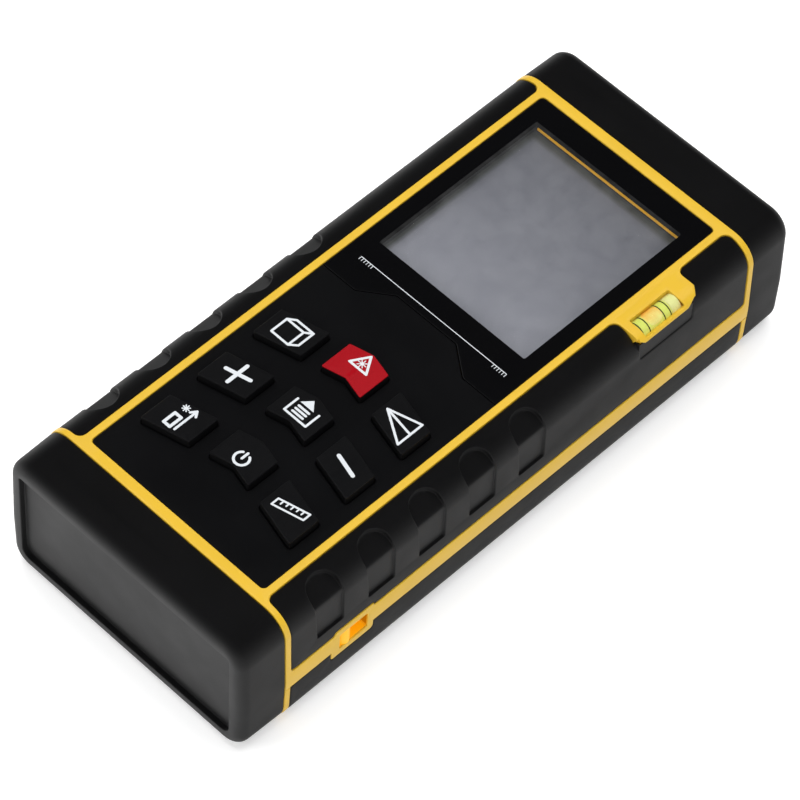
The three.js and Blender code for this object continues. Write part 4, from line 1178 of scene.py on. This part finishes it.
def build_outside():
    # Look 1 is the yellow with a painted glow, for the light bouncing in the shell's hollows.
    shell_looks = [YELLOW, YELLOW_PAINTED_GLOW, MATT_BLACK]
    front = joined(stripes_shape(), shell_core("front_shell"), lug_post_shape(), trough_corner_shape(),
                   display_lip_shape())
    piece("front_shell_skin", front, shell_looks, "case", ["front_shell"])
    back = joined(*[back_stripe_shape(side) for side in (-1, 1)], shell_core("back_shell"))
    piece("back_shell_skin", back, shell_looks, "case", ["back_shell"])
    rubber = {
        "grip_left": left_grip_shape(),
        "grip_right": right_grip_shape(),
        "back_overmould": overmould_shape(),
        "bottom_end_cap": cap_shape(-1, [bottom_recess()]),
        "laser_end_cap": cap_shape(1, [(rectangle(-18.5, 18.5, 3.8, 21.2, 2.5), flat_floor(2.2), 0.3)]),
    }
    for node, shape in rubber.items():
        piece(f"{node}_skin", shape, [RUBBER], "case", [node], welded=node.endswith("cap"))
    piece("optics_plate", optics_plate_shape(), [GLOSS_BLACK], "case", ["optics_window_plate"])


def build_level():
    piece("vial_rings", vial_rings_shape(), [MATT_BLACK], "case", welded=True)
    piece("vial_fluid", vial_filling_shape("level_fluid"), [FLUID_PAINTED_GLOW], "case", ["level_fluid"])
    piece("vial_plug", vial_filling_shape("level_plug"), [PLUG_PAINTED_GLOW], "case", ["level_plug"])
    piece("vial_bubble", bubble_shape(), [BUBBLE_PAINTED_GLOW], "level_bubble", ["level_bubble"])


def build_face():
    piece("display_pane", window_shape(), [GLOSS_BLACK, PANE], "case", ["display_window"])
    piece("scale_marks", scale_marks_shape(), [PRINT], "case")
    piece("keypad_frame", keypad_plate_shape(), [MATT_BLACK], "case", ["keypad_plate"])
    for name, (row, column) in zip(KEYS, KEY_PLACES):
        rubber, slot = (KEY_RED, "key_red_rubber") if name == "measure" else (KEY_BLACK, "key_rubber")
        piece(f"{name}_key", key_shape(name, row, column), [rubber, PRINT, KEY_BLACK], f"key_{name}",
              [f"key_{name}"])


def dress_inside():
    looks = {
        (RUBBER, "black_rubber"): ["zebra_strip"],
        (KEY_BLACK, "key_rubber"): ["keypad_mat"],
        (MATT_BLACK, "black_plastic"): ["lcd_holder", "processor_chip", "buzzer", "battery_door"],
        (WHITE, "white_plastic"): ["lcd_backlight"],
        (LCD, "lcd"): ["lcd_glass"],
        (STEEL, "steel"): [
            "dome_sheet", "photodiode", "contact_positive", "contact_negative", "contact_bridge",
            *[f"case_screw_{i}" for i in (1, 2, 3, 4)], *[f"board_screw_{i}" for i in (1, 2)],
            *[f"bench_screw_{i}" for i in (1, 2)],
        ],
        (BOARD, "circuit_board"): ["main_board", "receiver_board"],
        (ALUMINIUM, "cast_aluminium"): ["optics_bench"],
        (BRASS, "brass"): ["laser_diode", "collimator_barrel"],
        (LENS, "optical_glass"): ["laser_window", "collimator_lens", "receiver_lens"],
        (FILTER, "red_filter"): ["receiver_filter"],
        (POLYIMIDE, "polyimide"): ["ribbon_cable"],
        (JACKET, "cell_jacket"): ["cell_left", "cell_right"],
        (WIRE_RED, "wire_red"): ["lead_positive"],
        (WIRE_BLACK, "wire_black"): ["lead_negative"],
        (VIAL, "clear_plastic"): ["level_vial"],
    }
    for (material, slot), nodes in looks.items():
        for node in nodes:
            dressed(node, material, 0.12 if node in ("battery_door", "lcd_holder") else 0.0)


# ---- Studio ----

RIGHT_DIMMING = 0.55
FAR_DIMMING = 0.8


def build_floor():
    """A pale card that turns plain white far out; reflections see it dimmer on the right-hand side."""
    bpy.ops.mesh.primitive_plane_add(size=6)
    floor = bpy.context.object
    floor.name = "floor"
    s = Shader("floor")
    base = s.mixed(s.mapped(s.noise(400.0), 0, 1), (0.8, 0.8, 0.8, 1), (0.84, 0.84, 0.84, 1))
    card = s.node("ShaderNodeBsdfPrincipled", Base_Color=base, Roughness=0.9, Specular_IOR_Level=0.0,
                  Emission_Color=(1, 1, 1, 1), Emission_Strength=0.42)
    white = s.node("ShaderNodeEmission", Strength=1.0).outputs["Emission"]
    black = s.node("ShaderNodeBsdfDiffuse", Color=(0, 0, 0, 1)).outputs["BSDF"]
    clear_below = s.node("ShaderNodeBsdfTransparent").outputs["BSDF"]
    out = s.node("ShaderNodeVectorMath", {"operation": "LENGTH"}, Vector=s.coordinates).outputs["Value"]
    geometry = s.node("ShaderNodeNewGeometry")
    leaving = s.node("ShaderNodeSeparateXYZ", Vector=geometry.outputs["Incoming"]).outputs["X"]
    dim = s.product(s.node("ShaderNodeLightPath").outputs["Is Glossy Ray"],
                    s.mapped(leaving, RIGHT_DIMMING, 0.0, -0.5, 0.1))
    shade = s.blended(s.mapped(out, 0.0, 1.0, 0.15, 0.5), card.outputs["BSDF"], white)
    shade = s.blended(dim, shade, black)
    shade = s.blended(geometry.outputs["Backfacing"], shade, clear_below)
    floor.data.materials.append(s.finish(shade))


def build_world():
    """A white horizon under a dark sky, so that flat tops look dark and upright sides look pale."""
    world = bpy.data.worlds.new("studio")
    bpy.context.scene.world = world
    world.use_nodes = True
    tree = world.node_tree

    def faded(value, from_low, from_high, low, high):
        fade = tree.nodes.new("ShaderNodeMapRange")
        for name, number in zip(("From Min", "From Max", "To Min", "To Max"), (from_low, from_high, low, high)):
            fade.inputs[name].default_value = number
        tree.links.new(value, fade.inputs["Value"])
        return fade.outputs["Result"]

    direction = tree.nodes.new("ShaderNodeSeparateXYZ")
    tree.links.new(tree.nodes.new("ShaderNodeTexCoord").outputs["Generated"], direction.inputs["Vector"])
    glossy = tree.nodes.new("ShaderNodeLightPath").outputs["Is Glossy Ray"]
    beyond = faded(direction.outputs["Y"], -0.1, 0.4, 0.0, FAR_DIMMING)
    dim = tree.nodes.new("ShaderNodeMath")
    dim.operation = "MULTIPLY"
    tree.links.new(glossy, dim.inputs[0])
    tree.links.new(beyond, dim.inputs[1])
    bright = tree.nodes.new("ShaderNodeMath")
    bright.operation = "MULTIPLY"
    tree.links.new(faded(direction.outputs["Z"], 0.05, 0.42, 1.0, 0.02), bright.inputs[0])
    tree.links.new(faded(dim.outputs[0], 0.0, 1.0, 1.0, 0.0), bright.inputs[1])
    tree.links.new(bright.outputs[0], tree.nodes["Background"].inputs["Color"])
    tree.nodes["Background"].inputs["Strength"].default_value = 1.0


def soft_light(name, place, size, power):
    """A square soft box aimed at the object, which reflections don't show."""
    data = bpy.data.lights.new(name, "AREA")
    data.size = size
    data.energy = power
    light = bpy.data.objects.new(name, data)
    bpy.context.scene.collection.objects.link(light)
    light.location = place
    light.rotation_mode = "QUATERNION"
    light.rotation_quaternion = Vector(place).to_track_quat("Z", "Y")
    light.visible_glossy = False


def build_lights():
    soft_light("overhead", (-0.2, 0.3, 1.5), 1.6, 30)
    soft_light("front_right", (1.1, -0.6, 0.9), 0.7, 7)
    soft_light("front_left", (-0.7, -1.1, 0.9), 0.7, 6)


def build_camera():
    azimuth, elevation, roll = (math.radians(v) for v in (42.41, 53.63, 3.21))
    back = Vector((math.cos(elevation) * math.sin(azimuth), -math.cos(elevation) * math.cos(azimuth),
                   math.sin(elevation)))
    level = Vector((math.cos(azimuth), math.sin(azimuth), 0))
    right = level * math.cos(roll) + back.cross(level) * math.sin(roll)
    data = bpy.data.cameras.new("camera")
    data.lens = 218.04
    data.sensor_width = 36
    camera = bpy.data.objects.new("camera", data)
    bpy.context.scene.collection.objects.link(camera)
    turn = Matrix((right, back.cross(right), back)).transposed().to_4x4()
    camera.matrix_world = Matrix.Translation((0.29151, -0.32018, 0.59670)) @ turn
    bpy.context.scene.camera = camera


build_outside()
build_level()
build_face()
dress_inside()
build_floor()
build_world()
build_lights()
build_camera()
bpy.context.scene.view_settings.view_transform = "Standard"
